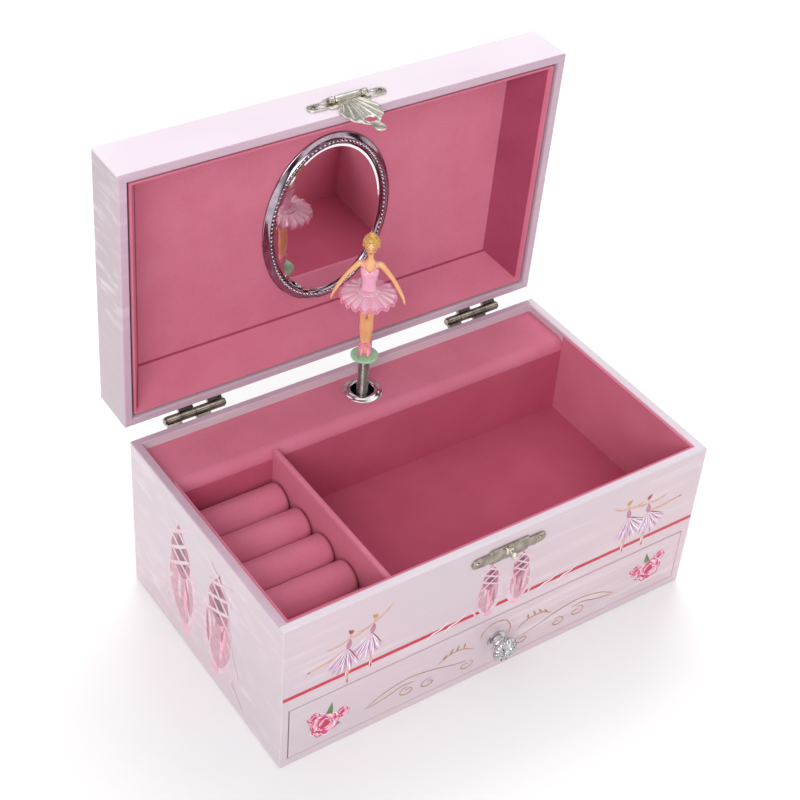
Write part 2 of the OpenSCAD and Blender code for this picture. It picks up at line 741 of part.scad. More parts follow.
module music_cylinder() {
  r = cylinder_d / 2;
  color(brass) {
    along_x(wheel_x, cylinder_y, barrel_z) linear_extrude(wheel_t) wheel_2d(wheel_r, 20, 1);
    along_x(end_wheel_x, cylinder_y, barrel_z) linear_extrude(wheel_t) wheel_2d(wheel_r, 24, 0.8);
    along_x(wheel_x, cylinder_y, barrel_z)
      cylinder(r = cylinder_arbor_r, h = end_wheel_x + wheel_t - wheel_x);
    along_x(cyl_x, cylinder_y, barrel_z) {
      cylinder(r = r, h = cylinder_l);
      // Pins in eighteen tracks, each turned on from the last by a fixed step
      for (i = [0 : pin_tracks - 1], k = [0 : 1]) rotate(i * 77 + k * 151)
        translate([r - 0.3, 0, track_margin + i * track_pitch]) rotate([0, 90, 0])
          cylinder(r = 0.25, h = 0.3 + pin_h, $fn = 16);
    }
  }
}
module comb() {
  color(steel) difference() {
    block(cyl_x, cyl_x + cylinder_l, cylinder_y - 0.5, cylinder_y + 0.5, comb_z - comb_l, comb_z);
    // Slots between the eighteen teeth
    for (i = [0 : pin_tracks - 2])
      translate([cyl_x + track_margin + (i + 0.5) * track_pitch, 0, 0])
        block(-0.18, 0.18, cylinder_y - 1, cylinder_y + 1, comb_z - comb_l + comb_block_h - 1,
              comb_z + 1);
    for (x = comb_screw_x) along_y(x, cylinder_y - 1, comb_screw_z)
      cylinder(r = screw_r + nail_fit, h = 2);
  }
}
module movement_screws() {
  color(steel) {
    for (s = mount_screws) along_y(s[0], plate_front, barrel_z + s[1]) {
      cylinder(r = screw_r, h = case_d / 2 - plate_front + 0.5);
      translate([0, 0, case_d / 2 - plate_front]) cylinder(r = 2.6, h = 1.2);
    }
    for (x = comb_screw_x) along_y(x, cylinder_y - 0.5, comb_screw_z) {
      cylinder(r = screw_r, h = 7);
      translate([0, 0, -1]) cylinder(r = 2.2, h = 1);
    }
  }
}
module governor_idler() {
  color(brass) along_x(bracket_x2 + 0.2, cylinder_y, idler_z) {
    cylinder(r = idler_arbor_r, h = outer_bracket_x + bracket_t - bracket_x2 - 0.4);
    translate([0, 0, end_wheel_x - bracket_x2 - 0.2]) linear_extrude(wheel_t)
      wheel_2d(idler_pinion_r, 8, 0.6);
    translate([0, 0, worm_wheel_x - bracket_x2 - 0.2]) linear_extrude(wheel_t)
      wheel_2d(idler_wheel_r, 20, 0.7);
  }
}
module governor_worm() {
  color(steel) translate([worm_x, worm_y, 0]) {
    translate([0, 0, idler_z - 5.5])
      cylinder(r = worm_arbor_r, h = governor_top + 1 - idler_z + 5.5);
    // Thread crests of the worm as close-set collars
    for (i = [-3 : 3]) translate([0, 0, idler_z + i - 0.3]) cylinder(r = worm_r, h = 0.6);
    translate([0, 0, idler_z - 3.5]) cylinder(r = worm_r - 0.6, h = 7);
    // Two air-brake blades
    block(-fan_r, fan_r, -0.3, 0.3, fan_z, fan_z + 6);
    translate([0, 0, fan_z - 0.4]) cylinder(r = 1.4, h = 7);
  }
}
module governor_bracket() {
  x1 = outer_bracket_x + bracket_t + 2.2;
  y1 = worm_y - 2;
  color(brass) difference() {
    union() {
      block(x1, x1 + 1.5, y1, plate_front, idler_z - 6, governor_top + 1);
      block(worm_x - 2, x1, worm_y - 1.8, worm_y + 2.5, governor_top - 0.5, governor_top + 1);
      block(outer_bracket_x + bracket_t + 0.2, x1, y1, plate_front, idler_z - 6, idler_z - 4.5);
      block(worm_x - 2, x1, worm_y + 0.8, plate_front, idler_z - 6, idler_z - 4.5);
    }
    translate([worm_x, worm_y, 0]) {
      translate([0, 0, governor_top - 2]) cylinder(r = worm_arbor_r + running_fit, h = 4);
      translate([0, 0, idler_z - 7]) cylinder(r = worm_arbor_r + running_fit, h = 4);
    }
    // The idler's outer arm passes through here
    block(outer_bracket_x - 0.1, outer_bracket_x + bracket_t + 0.1, y1 - 1, plate_front + 1,
          idler_z - 7, idler_z - 4);
  }
}

// ---- Dancer's drive
module dancer_shaft() {
  color(steel) at_dancer(0) {
    translate([0, 0, pinion_z]) linear_extrude(2) wheel_2d(pinion_r, 10, 0.8);
    translate([0, 0, pinion_z - 0.4]) cylinder(r = shaft_r, h = collar_z - pinion_z + 0.5);
    translate([0, 0, collar_z]) cylinder(r = spring_r, h = 1);
    translate([0, 0, collar_z + 1]) cylinder(r = spring_r - wire_d - 0.15, h = 5);
  }
}
module eyelet() {
  r = eyelet_hole_d / 2;
  color(nickel) at_dancer(0) rotate_extrude() {
    translate([r, ledge_z - housing_t]) square([eyelet_wall, housing_t]);
    translate([r, ledge_z]) square([eyelet_d / 2 - r - 0.8, 0.9]);
    translate([eyelet_d / 2 - 0.8, ledge_z]) intersection() {
      circle(r = 0.8);
      square(2);
    }
    translate([r + 1.2, ledge_z]) intersection() {
      circle(r = 1.6);
      translate([-1.2, 0]) square([2.8, 1.6]);
    }
  }
}
// Close-wound turns of the spring, as rings on a thin sleeve
module turns(z1, z2) {
  r = spring_r - wire_d / 2;
  count = floor((z2 - z1) / wire_d);
  rotate_extrude() {
    translate([r - wire_d / 2, z1]) square([wire_d * 0.7, z2 - z1]);
    for (i = [0 : count - 1]) translate([r, z1 + (i + 0.5) * wire_d]) circle(d = wire_d, $fn = 24);
  }
}
module spring_foot() {
  color(steel) at_dancer(0) turns(collar_z + 1, foot_top);
}
module spring_top() {
  ball_r = spring_r - 0.4;
  color(steel) at_dancer(0) {
    difference() {
      union() {
        translate([0, 0, bend_z]) sphere(r = ball_r);
        translate([0, 0, bend_z]) cylinder(r = spring_r - wire_d, h = 3);
      }
      translate([0, 0, bend_z + 0.5]) cylinder(r = 0.9, h = 4);
    }
    turns(bend_z + 1.8, spring_end);
  }
}

// ---- Dancer
module at_figure() { at_dancer(figure_z) rotate(facing) scale(figure_k) children(); }
module dancer_stand() {
  color("#8fbf95") at_dancer(stand_z) {
    rotate_extrude() polygon([[0, 0], [stand_d / 2 - 0.8, 0], [stand_d / 2, 0.5],
                              [stand_d / 2, 1.1], [stand_d / 2 - 0.5, stand_t], [0, stand_t]]);
    translate([0, 0, -3]) cylinder(r = spring_r - wire_d - 0.1, h = 3.2);
  }
}
module dancer_figure() {
  color(flesh) at_figure() {
    for (s = [-1, 1]) {
      // Shoe, then calf and thigh
      translate([s * 1.5, -0.5, 0]) cylinder(r1 = 2.1, r2 = 1.6, h = 7.6, $fn = 24);
      limb([[s * 1.5, -0.2, 6, 1.3], [s * 1.9, 0, 20, 1.75], [s * 1.9, 0, 29.5, 2.1]]);
      // Arm held out and down to the tutu's edge
      limb([[s * 4, 0, 49.7, 1.2], [s * 5, 0, 49.2, 1.15], [s * 10.6, -1.2, 42.4, 1],
            [s * 15.3, -2.6, 34.6, 0.75], [s * 15.9, -3, 31.8, 0.8]]);
    }
    // Hips, waist, bust, shoulders and neck
    rotate_extrude() polygon([[0, 28.5], [3.9, 28.5], [4.05, 31], [2.9, 38.4], [4.1, 45],
                              [3.9, 48], [2.2, 50.8], [1.35, 51.6], [1.35, 57], [0, 57]]);
    along_x(-4.2, 0, 49.5) cylinder(r = 1.45, h = 8.4, $fn = 24);
    translate([0, -0.4, 58.7]) sphere(r = 3.7);
    translate([0, 0.9, 60.2]) sphere(r = 3.9);
    translate([0, 1.6, 64.5]) sphere(r = 2.4);
  }
}
module dancer_tutu() {
  r = tutu_d / 2 / figure_k;
  color("#eb9dbb") at_figure() rotate_extrude()
    polygon([[4.15, 33.6], [5, 33.2], [r, 31.8], [r, 33], [5, 35.8], [4.15, 35.8]]);
}

left_side_panel();
right_side_panel();
back_panel();
front_panel();
bottom_panel();
drawer_shelf();
housing_front();
housing_top();
divider();
tray_floor_card();
wall_cards();
ring_roll(1);  // ring_roll_1
ring_roll(2);  // ring_roll_2
ring_roll(3);  // ring_roll_3
ring_roll(4);  // ring_roll_4
ring_roll(5);  // ring_roll_5
lid_top_board();
lid_front_rail();
lid_back_rail();
lid_left_rail();
lid_right_rail();
lid_lining();
mirror_frame();
mirror_glass();
case_hinge_leaves();
lid_hinge_leaves();
hinge_pins();
case_nails();
lid_nails();
hasp_mount();
hasp_pin();
hasp_shell();
catch_plate();
catch_stud();
drawer_front();
drawer_left_side();
drawer_right_side();
drawer_back();
drawer_bottom();
drawer_lining();
drawer_knob();
knob_screw();
bedplate();
barrel_drum();
mainspring();
winding_arbor();
winding_key();
music_cylinder();
comb();
movement_screws();
governor_idler();
governor_worm();
governor_bracket();
dancer_shaft();
eyelet();
spring_foot();
spring_top();
dancer_stand();
dancer_figure();
dancer_tutu();
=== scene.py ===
import json
import math
import random

import bmesh
import bpy
from mathutils import Matrix, Vector, noise


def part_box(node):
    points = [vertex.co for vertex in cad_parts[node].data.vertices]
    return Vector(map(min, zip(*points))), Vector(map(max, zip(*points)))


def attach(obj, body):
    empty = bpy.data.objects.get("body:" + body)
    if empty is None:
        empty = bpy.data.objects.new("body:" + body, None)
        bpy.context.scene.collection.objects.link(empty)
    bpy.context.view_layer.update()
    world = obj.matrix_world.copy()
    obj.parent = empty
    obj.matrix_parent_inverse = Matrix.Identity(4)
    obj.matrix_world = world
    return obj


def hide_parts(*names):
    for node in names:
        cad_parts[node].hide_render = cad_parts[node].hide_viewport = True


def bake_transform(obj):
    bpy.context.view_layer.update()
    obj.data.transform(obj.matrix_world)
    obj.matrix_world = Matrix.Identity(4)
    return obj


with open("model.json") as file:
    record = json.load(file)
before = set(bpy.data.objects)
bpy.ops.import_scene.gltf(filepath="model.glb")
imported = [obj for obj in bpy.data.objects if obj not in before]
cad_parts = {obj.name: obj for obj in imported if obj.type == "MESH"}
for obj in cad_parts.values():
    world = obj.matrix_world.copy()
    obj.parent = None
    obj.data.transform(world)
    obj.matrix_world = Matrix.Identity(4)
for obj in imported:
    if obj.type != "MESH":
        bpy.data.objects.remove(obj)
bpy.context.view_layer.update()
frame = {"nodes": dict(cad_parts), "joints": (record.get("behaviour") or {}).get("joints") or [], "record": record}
mm = 0.001
joints = {j["name"]: j for j in frame["joints"]}
print("frame loaded:", len(frame["nodes"]), "nodes")

# the lid's pieces are drawn shut, then swung open about the hinge pins
lidHinge = Vector(joints["lid_hinge"]["pos_m"])
lidTurn = math.radians(joints["lid_hinge"]["range_deg"][1])
openLid = (Matrix.Translation(lidHinge) @ Matrix.Rotation(-lidTurn, 4, "X")
    @ Matrix.Translation(-lidHinge))


def span(node):
    low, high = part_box(node)
    return low / mm, high / mm


def shutSpan(node):
    shut = openLid.inverted()
    spots = [(shut @ v.co) / mm for v in frame["nodes"][node].data.vertices]
    low = Vector([min(s[k] for s in spots) for k in range(3)])
    high = Vector([max(s[k] for s in spots) for k in range(3)])
    return low, high


def tone(red, green, blue):
    shades = []
    for c in (red / 255, green / 255, blue / 255):
        shades.append(c / 12.92 if c <= 0.04045 else ((c + 0.055) / 1.055) ** 2.4)
    return (*shades, 1)


# finishes, all procedural and laid out in object space
def blankFinish(name):
    mat = bpy.data.materials.new(name)
    mat.use_nodes = True
    tree = mat.node_tree
    where = tree.nodes.new("ShaderNodeTexCoord")
    return mat, tree, tree.nodes["Principled BSDF"], where.outputs["Object"]


def addNoise(tree, vector, scale, detail=3, stretch=None, turn=None):
    if stretch:
        mapping = tree.nodes.new("ShaderNodeMapping")
        mapping.inputs["Scale"].default_value = stretch
        if turn:
            mapping.inputs["Rotation"].default_value = turn
        tree.links.new(vector, mapping.inputs["Vector"])
        vector = mapping.outputs["Vector"]
    cloud = tree.nodes.new("ShaderNodeTexNoise")
    cloud.inputs["Scale"].default_value = scale
    cloud.inputs["Detail"].default_value = detail
    tree.links.new(vector, cloud.inputs["Vector"])
    return cloud.outputs["Fac"]


def addRamp(tree, factor, stops):
    ramp = tree.nodes.new("ShaderNodeValToRGB")
    while len(ramp.color_ramp.elements) < len(stops):
        ramp.color_ramp.elements.new(0.5)
    for element, (at, colour) in zip(ramp.color_ramp.elements, stops):
        element.position = at
        element.color = colour
    tree.links.new(factor, ramp.inputs["Fac"])
    return ramp.outputs["Color"]


def addMix(tree, factor, first, second, kind="MIX"):
    mix = tree.nodes.new("ShaderNodeMix")
    mix.data_type = "RGBA"
    mix.blend_type = kind
    for value, socket in ((factor, 0), (first, 6), (second, 7)):
        if isinstance(value, (float, int, tuple)):
            mix.inputs[socket].default_value = value
        else:
            tree.links.new(value, mix.inputs[socket])
    return mix.outputs[2]


def addRange(tree, factor, low, high):
    spread = tree.nodes.new("ShaderNodeMapRange")
    spread.inputs["From Min"].default_value = 0.3
    spread.inputs["From Max"].default_value = 0.7
    spread.inputs["To Min"].default_value = low
    spread.inputs["To Max"].default_value = high
    tree.links.new(factor, spread.inputs["Value"])
    return spread.outputs["Result"]


def addBump(tree, shader, height, strength, depth, under=None):
    bump = tree.nodes.new("ShaderNodeBump")
    bump.inputs["Strength"].default_value = strength
    bump.inputs["Distance"].default_value = depth * mm
    tree.links.new(height, bump.inputs["Height"])
    if under:
        tree.links.new(under, bump.inputs["Normal"])
    tree.links.new(bump.outputs["Normal"], shader.inputs["Normal"])
    return bump.outputs["Normal"]


def grey(level):
    return (level, level, level, 1)


def setSockets(shader, values):
    for socket, value in values.items():
        shader.inputs[socket].default_value = value


def paint(tree, shader, factor, stops, smooth, rough):
    # one cloud drives both the colour and the roughness
    tree.links.new(addRamp(tree, factor, stops), shader.inputs["Base Color"])
    tree.links.new(addRange(tree, factor, smooth, rough), shader.inputs["Roughness"])


# base and blush are the two printed tints, streak the brushed highlights over them
paperLook = {"base": tone(203, 187, 196), "blush": tone(210, 187, 195), "streak": tone(230, 221,
    228), "streakWeight": 0.38, "coat": 0.35}


def paperFinish(name, look):
    mat, tree, shader, at = blankFinish(name)
    wash = addNoise(tree, at, 11, 2)
    colour = addRamp(tree, wash, [(0.38, look["base"]), (0.62, look["blush"])])
    brush = addNoise(tree, at, 1, 4, (14, 70, 240), (0.35, 0.2, 0.1))
    patch = addNoise(tree, at, 17, 1)
    strokes = addRamp(tree, brush, [(0.5, grey(0)), (0.68, grey(1))])
    patches = addRamp(tree, patch, [(0.45, grey(0)), (0.62, grey(look["streakWeight"]))])
    amount = addMix(tree, 1.0, strokes, patches, "MULTIPLY")
    colour = addMix(tree, amount, colour, look["streak"])
    tree.links.new(colour, shader.inputs["Base Color"])
    tree.links.new(addRange(tree, brush, 0.42, 0.3), shader.inputs["Roughness"])
    relief = addBump(tree, shader, brush, 0.05, 0.12)
    addBump(tree, shader, addNoise(tree, at, 1900, 2), 0.04, 0.05, relief)
    setSockets(shader, {"Coat Weight": look["coat"], "Coat Roughness": 0.16})
    return mat


velvetLook = {"deep": tone(206, 115, 139), "light": tone(212, 123, 147), "pile": 2300,
    "sheen": 0.18}


def velvetFinish(name, look):
    mat, tree, shader, at = blankFinish(name)
    nap = addNoise(tree, at, 48, 4)
    pile = addNoise(tree, at, look["pile"], 2)
    colour = addRamp(tree, nap, [(0.3, look["deep"]), (0.7, look["light"])])
    speckle = addRamp(tree, pile, [(0.3, grey(0.8)), (0.7, grey(1.0))])
    colour = addMix(tree, 0.55, colour, speckle, "MULTIPLY")
    tree.links.new(colour, shader.inputs["Base Color"])
    tree.links.new(addRange(tree, pile, 0.98, 0.82), shader.inputs["Roughness"])
    addBump(tree, shader, pile, 0.5, 0.16)
    setSockets(shader, {"Sheen Weight": look["sheen"], "Sheen Roughness": 0.42})
    setSockets(shader, {"Sheen Tint": tone(255, 205, 222), "Specular IOR Level": 0.15})
    return mat


def metalFinish(name, colour, tarnish, smooth, rough, grain=260, brushed=None):
    mat, tree, shader, at = blankFinish(name)
    cloud = addNoise(tree, at, grain if not brushed else 1, 4, brushed)
    paint(tree, shader, cloud, [(0.3, colour), (0.75, tarnish)], smooth, rough)
    addBump(tree, shader, addNoise(tree, at, 700, 3), 0.05, 0.03)
    setSockets(shader, {"Metallic": 1.0})
    return mat


def plasticFinish(name, colour, shade, gloss=0.25, flesh=0.0, clear=0.0, grain=180):
    mat, tree, shader, at = blankFinish(name)
    cloud = addNoise(tree, at, grain, 3)
    paint(tree, shader, cloud, [(0.35, colour), (0.68, shade)], gloss, gloss + 0.14)
    addBump(tree, shader, addNoise(tree, at, 1300, 2), 0.06, 0.04)
    setSockets(shader, {"Subsurface Weight": flesh, "Subsurface Radius": (0.002, 0.001, 0.0008)})
    setSockets(shader, {"Subsurface Scale": 0.4, "Transmission Weight": clear})
    setSockets(shader, {"Coat Weight": 0.4, "Coat Roughness": 0.08})
    return mat


def inkFinish(name, colour, shade, grain=420):
    mat, tree, shader, at = blankFinish(name)
    wash = addNoise(tree, at, grain, 4)
    paint(tree, shader, wash, [(0.36, colour), (0.66, shade)], 0.34, 0.44)
    setSockets(shader, {"Coat Weight": 0.35, "Coat Roughness": 0.16})
    return mat


# the printed sheets and their lighter and darker copies (painted highlight and painted shade), in the order in
# which the boards number them
paperTints = {"rimPaper": (tone(192, 165, 182), tone(199, 169, 185), 0.35), "rimHighlightPaper": (tone(216,
    206, 215), tone(212, 198, 209), 0.5), "lidFrontHighlightPaper": (tone(233, 221, 232), tone(228, 213,
    225), 0.5), "lidEndShadePaper": (tone(181, 163, 174), tone(187, 165, 175), 0.5)}
papers = [paperFinish("printedPaper", paperLook)]
for name, (base, blush, weight) in paperTints.items():
    papers.append(paperFinish(name, dict(paperLook, base=base, blush=blush, streakWeight=weight)))
plainSheet, rimSheet, rimHighlightSheet, lidFrontHighlightSheet, lidEndShadeSheet = range(len(papers))
velvet = velvetFinish("pinkVelvet", velvetLook)
# a darker copy of the velvet for the compartment's floor and housing front: painted shade deep in the box
recessShadeVelvet = velvetFinish("recessShadeVelvet", dict(velvetLook, deep=tone(190, 86, 113), light=tone(196,
    94, 120), sheen=0.1))
# a darker velvet for the lining's creases: painted shade in the folds and mitres
creaseShadeVelvet = velvetFinish("creaseShadeVelvet", dict(velvetLook, deep=tone(158, 66, 94), light=tone(168, 74,
    102), sheen=0.05))
nickel = metalFinish("nickelPlate", tone(184, 176, 164), tone(112, 104, 94), 0.12, 0.24)
chrome = metalFinish("polishedChrome", tone(226, 226, 228), tone(172, 170, 172), 0.04, 0.1)
silver = metalFinish("brightNickel", tone(238, 234, 226), tone(205, 198, 186), 0.2, 0.34)
# a pink-grey chrome whose colour paints the reflection of the pink lining and the dark studio
reflectionTintChrome = metalFinish("reflectionTintChrome", tone(186, 170, 180), tone(150, 134, 146), 0.06, 0.14)
mirrorSilver = metalFinish("silvering", tone(240, 238, 240), tone(236, 234, 238), 0.01, 0.02, 30)
brass = metalFinish("satinBrass", tone(205, 172, 105), tone(176, 140, 78), 0.24, 0.4)
steel = metalFinish("springSteel", tone(186, 180, 176), tone(140, 134, 130), 0.18, 0.32, 1, (1500,
    1500, 120))
fleshPlastic = plasticFinish("fleshPlastic", tone(238, 186, 134), tone(230, 170, 116), 0.26, 0.12)
goldHair = plasticFinish("goldHair", tone(222, 178, 92), tone(188, 134, 58), 0.3, grain=900)
satinBodice = plasticFinish("satinBodice", tone(243, 188, 208), tone(232, 160, 188), 0.3, 0.1)
tutuPlastic = plasticFinish("tutuPlastic", tone(246, 196, 214), tone(240, 174, 198), 0.12, 0.2, 0.12)
tutuLip = plasticFinish("tutuLip", tone(238, 152, 180), tone(228, 130, 162), 0.14, 0.2, 0.1)
shoePlastic = plasticFinish("shoePlastic", tone(240, 156, 180), tone(226, 124, 156), 0.22, 0.1)
greenPlastic = plasticFinish("greenPlastic", tone(170, 212, 174), tone(148, 198, 156), 0.25, 0.1)
lipPaint = plasticFinish("lipPaint", tone(205, 40, 48), tone(180, 28, 40))
browPaint = plasticFinish("browPaint", tone(96, 62, 40), tone(70, 44, 30))
floorPaint, floorTree, floorShader, floorAt = blankFinish("studioFloor")
floorTree.links.new(addRamp(floorTree, addNoise(floorTree, floorAt, 3, 2), [(0.3, grey(0.92)), (0.7,
    grey(0.94))]), floorShader.inputs["Base Color"])
floorShader.inputs["Roughness"].default_value = 0.9
print("finishes made:", len(bpy.data.materials))

# the carried-over parts take their finish from their slot in the record
slotFinish = {"paper": papers[plainSheet], "velvet": velvet, "nickel": nickel,
    "mirror": mirrorSilver, "brass": brass, "steel": steel, "green_plastic": greenPlastic,
    "skin_plastic": fleshPlastic, "tutu_plastic": tutuPlastic}
for part in frame["record"]["subparts"]:
    mesh = frame["nodes"][part["node"]].data
    mesh.materials.clear()
    mesh.materials.append(slotFinish[part["material_slot"]])
# painted shade: the compartment's floor and the housing's front take the darker velvet
for node in ("tray_floor_card", "housing_front"):
    frame["nodes"][node].data.materials[0] = recessShadeVelvet


# making meshes, all in millimetres until they are scaled; a part is (points, faces, finish number)
upright = Matrix.Rotation(math.pi / 2, 4, "X")


def addObject(name, data):
    obj = bpy.data.objects.new(name, data)
    bpy.context.scene.collection.objects.link(obj)
    return obj


def meshFrom(name, points, faces, scale=mm):
    mesh = bpy.data.meshes.new(name)
    mesh.from_pydata([tuple(p) for p in points], [], faces)
    mesh.transform(Matrix.Scale(scale, 4))
    return mesh


def partFrom(mesh, index=0):
    return [v.co.copy() for v in mesh.vertices], [list(p.vertices) for p in mesh.polygons], index


def faceOutward(mesh, weld=False):
    tidy = bmesh.new()
    tidy.from_mesh(mesh)
    if weld:
        bmesh.ops.remove_doubles(tidy, verts=tidy.verts, dist=1e-6)
    bmesh.ops.recalc_face_normals(tidy, faces=tidy.faces)
    tidy.to_mesh(mesh)
    tidy.free()


def piece(name, parts, finishes, body, stands=(), onLid=False, sharp=40):
    verts, faces, which = [], [], []
    for points, polygons, index in parts:
        start = len(verts)
        verts += points
        faces += [[start + i for i in polygon] for polygon in polygons]
        which += [index] * len(polygons)
    mesh = meshFrom(name, verts, faces)
    mesh.polygons.foreach_set("material_index", which)
    faceOutward(mesh, weld=True)
    return fit(name, mesh, finishes, body, stands, onLid, sharp)


def fit(name, mesh, finishes, body, stands=(), onLid=False, sharp=40):
    for finish in finishes:
        mesh.materials.append(finish)
    mesh.polygons.foreach_set("use_smooth", [True] * len(mesh.polygons))
    if sharp:
        mesh.set_sharp_from_angle(angle=math.radians(sharp))
    if onLid:
        mesh.transform(openLid)
    obj = addObject(name, mesh)
    if body:
        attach(obj, body)
    if stands:
        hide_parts(*stands)
    return obj


def baked(obj):
    graph = bpy.context.evaluated_depsgraph_get()
    return bpy.data.meshes.new_from_object(obj.evaluated_get(graph))


def settle(obj):
    made = baked(obj)
    obj.modifiers.clear()
    obj.data = made
    return made


def loft(loops, caps=True, index=0, around=True):
    count = len(loops[0])
    points = [p for loop in loops for p in loop]
    faces = []
    for i in range(len(loops) - 1):
        for k in range(count if around else count - 1):
            n = (k + 1) % count
            faces.append([i * count + k, i * count + n, (i + 1) * count + n, (i + 1) * count + k])
    if caps:
        faces.append(list(range(count - 1, -1, -1)))
        faces.append([(len(loops) - 1) * count + k for k in range(count)])
    return points, faces, index


def turned(profile, steps=64, index=0, ripple=None):
    loops = []
    for i, (radius, height) in enumerate(profile):
        loop = []
        for k in range(steps):
            angle = math.tau * k / steps
            r, h = (radius, height) if ripple is None else ripple(i, angle, radius, height)
            loop.append((r * math.cos(angle), r * math.sin(angle), h))
        loops.append(loop)
    return loft(loops, False, index)


def moved(part, matrix):
    points, faces, index = part
    return [matrix @ Vector(p) for p in points], faces, index


def tube(path, radii, sides=12, index=0, caps=True):
    path = [Vector(p) for p in path]
    if not hasattr(radii, "__len__"):
        radii = [radii] * len(path)
    loops, side = [], None
    for i, point in enumerate(path):
        ahead = (path[min(i + 1, len(path) - 1)] - path[max(i - 1, 0)]).normalized()
        if side is None:
            side = ahead.orthogonal().normalized()
        side = (side - ahead * side.dot(ahead)).normalized()
        up = ahead.cross(side)
        loops.append([point + radii[i] * (math.cos(math.tau * k / sides) * side + math.sin(math.tau
            * k / sides) * up) for k in range(sides)])
    return loft(loops, caps, index)


def ball(centre, radii, steps=24, index=0):
    profile = [(math.sin(math.pi * i / steps * 2), -math.cos(math.pi * i / steps * 2))
        for i in range(steps // 2 + 1)]
    matrix = Matrix.Translation(centre) @ Matrix.Diagonal((*radii, 1))
    return moved(turned(profile, steps, index), matrix)


def smoothPath(knots, steps=10):
    knots = [Vector(k) for k in knots]
    ends = [2 * knots[0] - knots[1], *knots, 2 * knots[-1] - knots[-2]]
    made = []
    for i in range(1, len(ends) - 2):
        a, b, c, d = ends[i - 1 : i + 3]
        for k in range(steps):
            t = k / steps
            made.append(0.5 * (2 * b + (c - a) * t + (2 * a - 5 * b + 4 * c - d) * t * t + (3 * b
                - a - 3 * c + d) * t**3))
    return made + [knots[-1]]


def stamped(outlines, thickness, edge, index=0):
    # sheet metal cut to an outline with holes, its edges rounded; it lies in XY
    curve = bpy.data.curves.new("stamping", "CURVE")
    curve.dimensions = "2D"
    curve.fill_mode = "BOTH"
    curve.extrude = thickness / 2 - edge
    curve.bevel_depth = edge
    curve.bevel_resolution = 2
    curve.offset = -edge
    for outline in outlines:
        spline = curve.splines.new("POLY")
        spline.points.add(len(outline) - 1)
        for point, (x, y) in zip(spline.points, outline):
            point.co = (x, y, 0, 1)
        spline.use_cyclic_u = True
    obj = addObject("stamping", curve)
    mesh = baked(obj)
    part = partFrom(mesh, index)
    bpy.data.objects.remove(obj)
    bpy.data.curves.remove(curve)
    bpy.data.meshes.remove(mesh)
    return part


def ring(x, y, radius, steps=28):
    return [(x + radius * math.cos(math.tau * k / steps), y + radius * math.sin(math.tau * k
        / steps)) for k in range(steps)]


# boards wrapped in paper
def boxPart(low, high):
    corners = [(x, y, z) for x in (low[0], high[0]) for y in (low[1], high[1]) for z in (low[2],
        high[2])]
    faces = [[0, 1, 3, 2], [4, 6, 7, 5], [0, 4, 5, 1], [2, 3, 7, 6], [0, 2, 6, 4], [1, 5, 7, 3]]
    return corners, faces, 0


def rawBlock(low, high):
    corners, faces, _ = boxPart(low, high)
    return addObject("block", meshFrom("block", corners, faces))


def cutAway(obj, cutter):
    cut = obj.modifiers.new("cut", "BOOLEAN")
    cut.operation = "DIFFERENCE"
    cut.solver = "EXACT"
    cut.object = cutter
    settle(obj)
    bpy.data.objects.remove(cutter)


def roundCutter(z, radius, low, high):
    points, faces, _ = tube([(0, low, z), (0, high, z)], radius, 48)
    mesh = meshFrom("cutter", points, faces)
    faceOutward(mesh)
    return addObject("cutter", mesh)


def softenEdges(obj, width, segments=3):
    edge = obj.modifiers.new("edge", "BEVEL")
    edge.width = width * mm
    edge.segments = segments
    edge.limit_method = "ANGLE"
    edge.angle_limit = math.radians(30)
    settle(obj)


def score(obj, spot, normal):
    # an edge across the faces, so that one rim can take the paler copy of the rim paper, a painted highlight
    knife = bmesh.new()
    knife.from_mesh(obj.data)
    everything = knife.verts[:] + knife.edges[:] + knife.faces[:]
    bmesh.ops.bisect_plane(knife, geom=everything, plane_co=Vector(spot) * mm,
        plane_no=Vector(normal))
    knife.to_mesh(obj.data)
    knife.free()


def wrapped(name, obj, body, stands, which, onLid=False):
    mesh = obj.data
    mesh.materials.clear()
    for finish in papers:
        mesh.materials.append(finish)
    for polygon in mesh.polygons:
        polygon.material_index = which(polygon.center / mm)
        polygon.use_smooth = True
    weigh = obj.modifiers.new("weigh", "WEIGHTED_NORMAL")
    weigh.weight = 100
    mesh = settle(obj)
    obj.name = name
    mesh.name = name
    if onLid:
        mesh.transform(openLid)
    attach(obj, body)
    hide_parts(*stands)
    return obj


caseLook = {"edge": 0.7, "rimDepth": 1.0}
boardThick = 4
skinDepth = 0.6  # faces whose middle lies this near a board's outside carry its sheet
leftLow, leftHigh = span("left_side_panel")
rightLow, rightHigh = span("right_side_panel")
bottomLow, bottomHigh = span("bottom_panel")
frontLow = span("front_panel")[0]
backLow, backHigh = span("back_panel")
keyLow, keyHigh = span("winding_key")
caseTop = leftHigh.z
insideX = rightLow.x
frontFace = leftLow.y
barrelZ = (keyLow.z + keyHigh.z) / 2


def casePaper(c):
    # the front and right rims take a paler copy of the rim paper, a painted highlight
    if c.z < caseTop - caseLook["rimDepth"]:
        return plainSheet
    return rimHighlightSheet if c.y < frontFace + boardThick + 1 or c.x > insideX else rimSheet


def lidPaper(c):
    if c.z < lidRim + caseLook["rimDepth"]:
        return rimSheet
    # the lid's front takes a lighter copy of the paper, a painted highlight; its two ends a darker copy, painted
    # shade
    if c.y < topLow.y + skinDepth:
        return lidFrontHighlightSheet
    return lidEndShadeSheet if abs(c.x) > topHigh.x - skinDepth else plainSheet


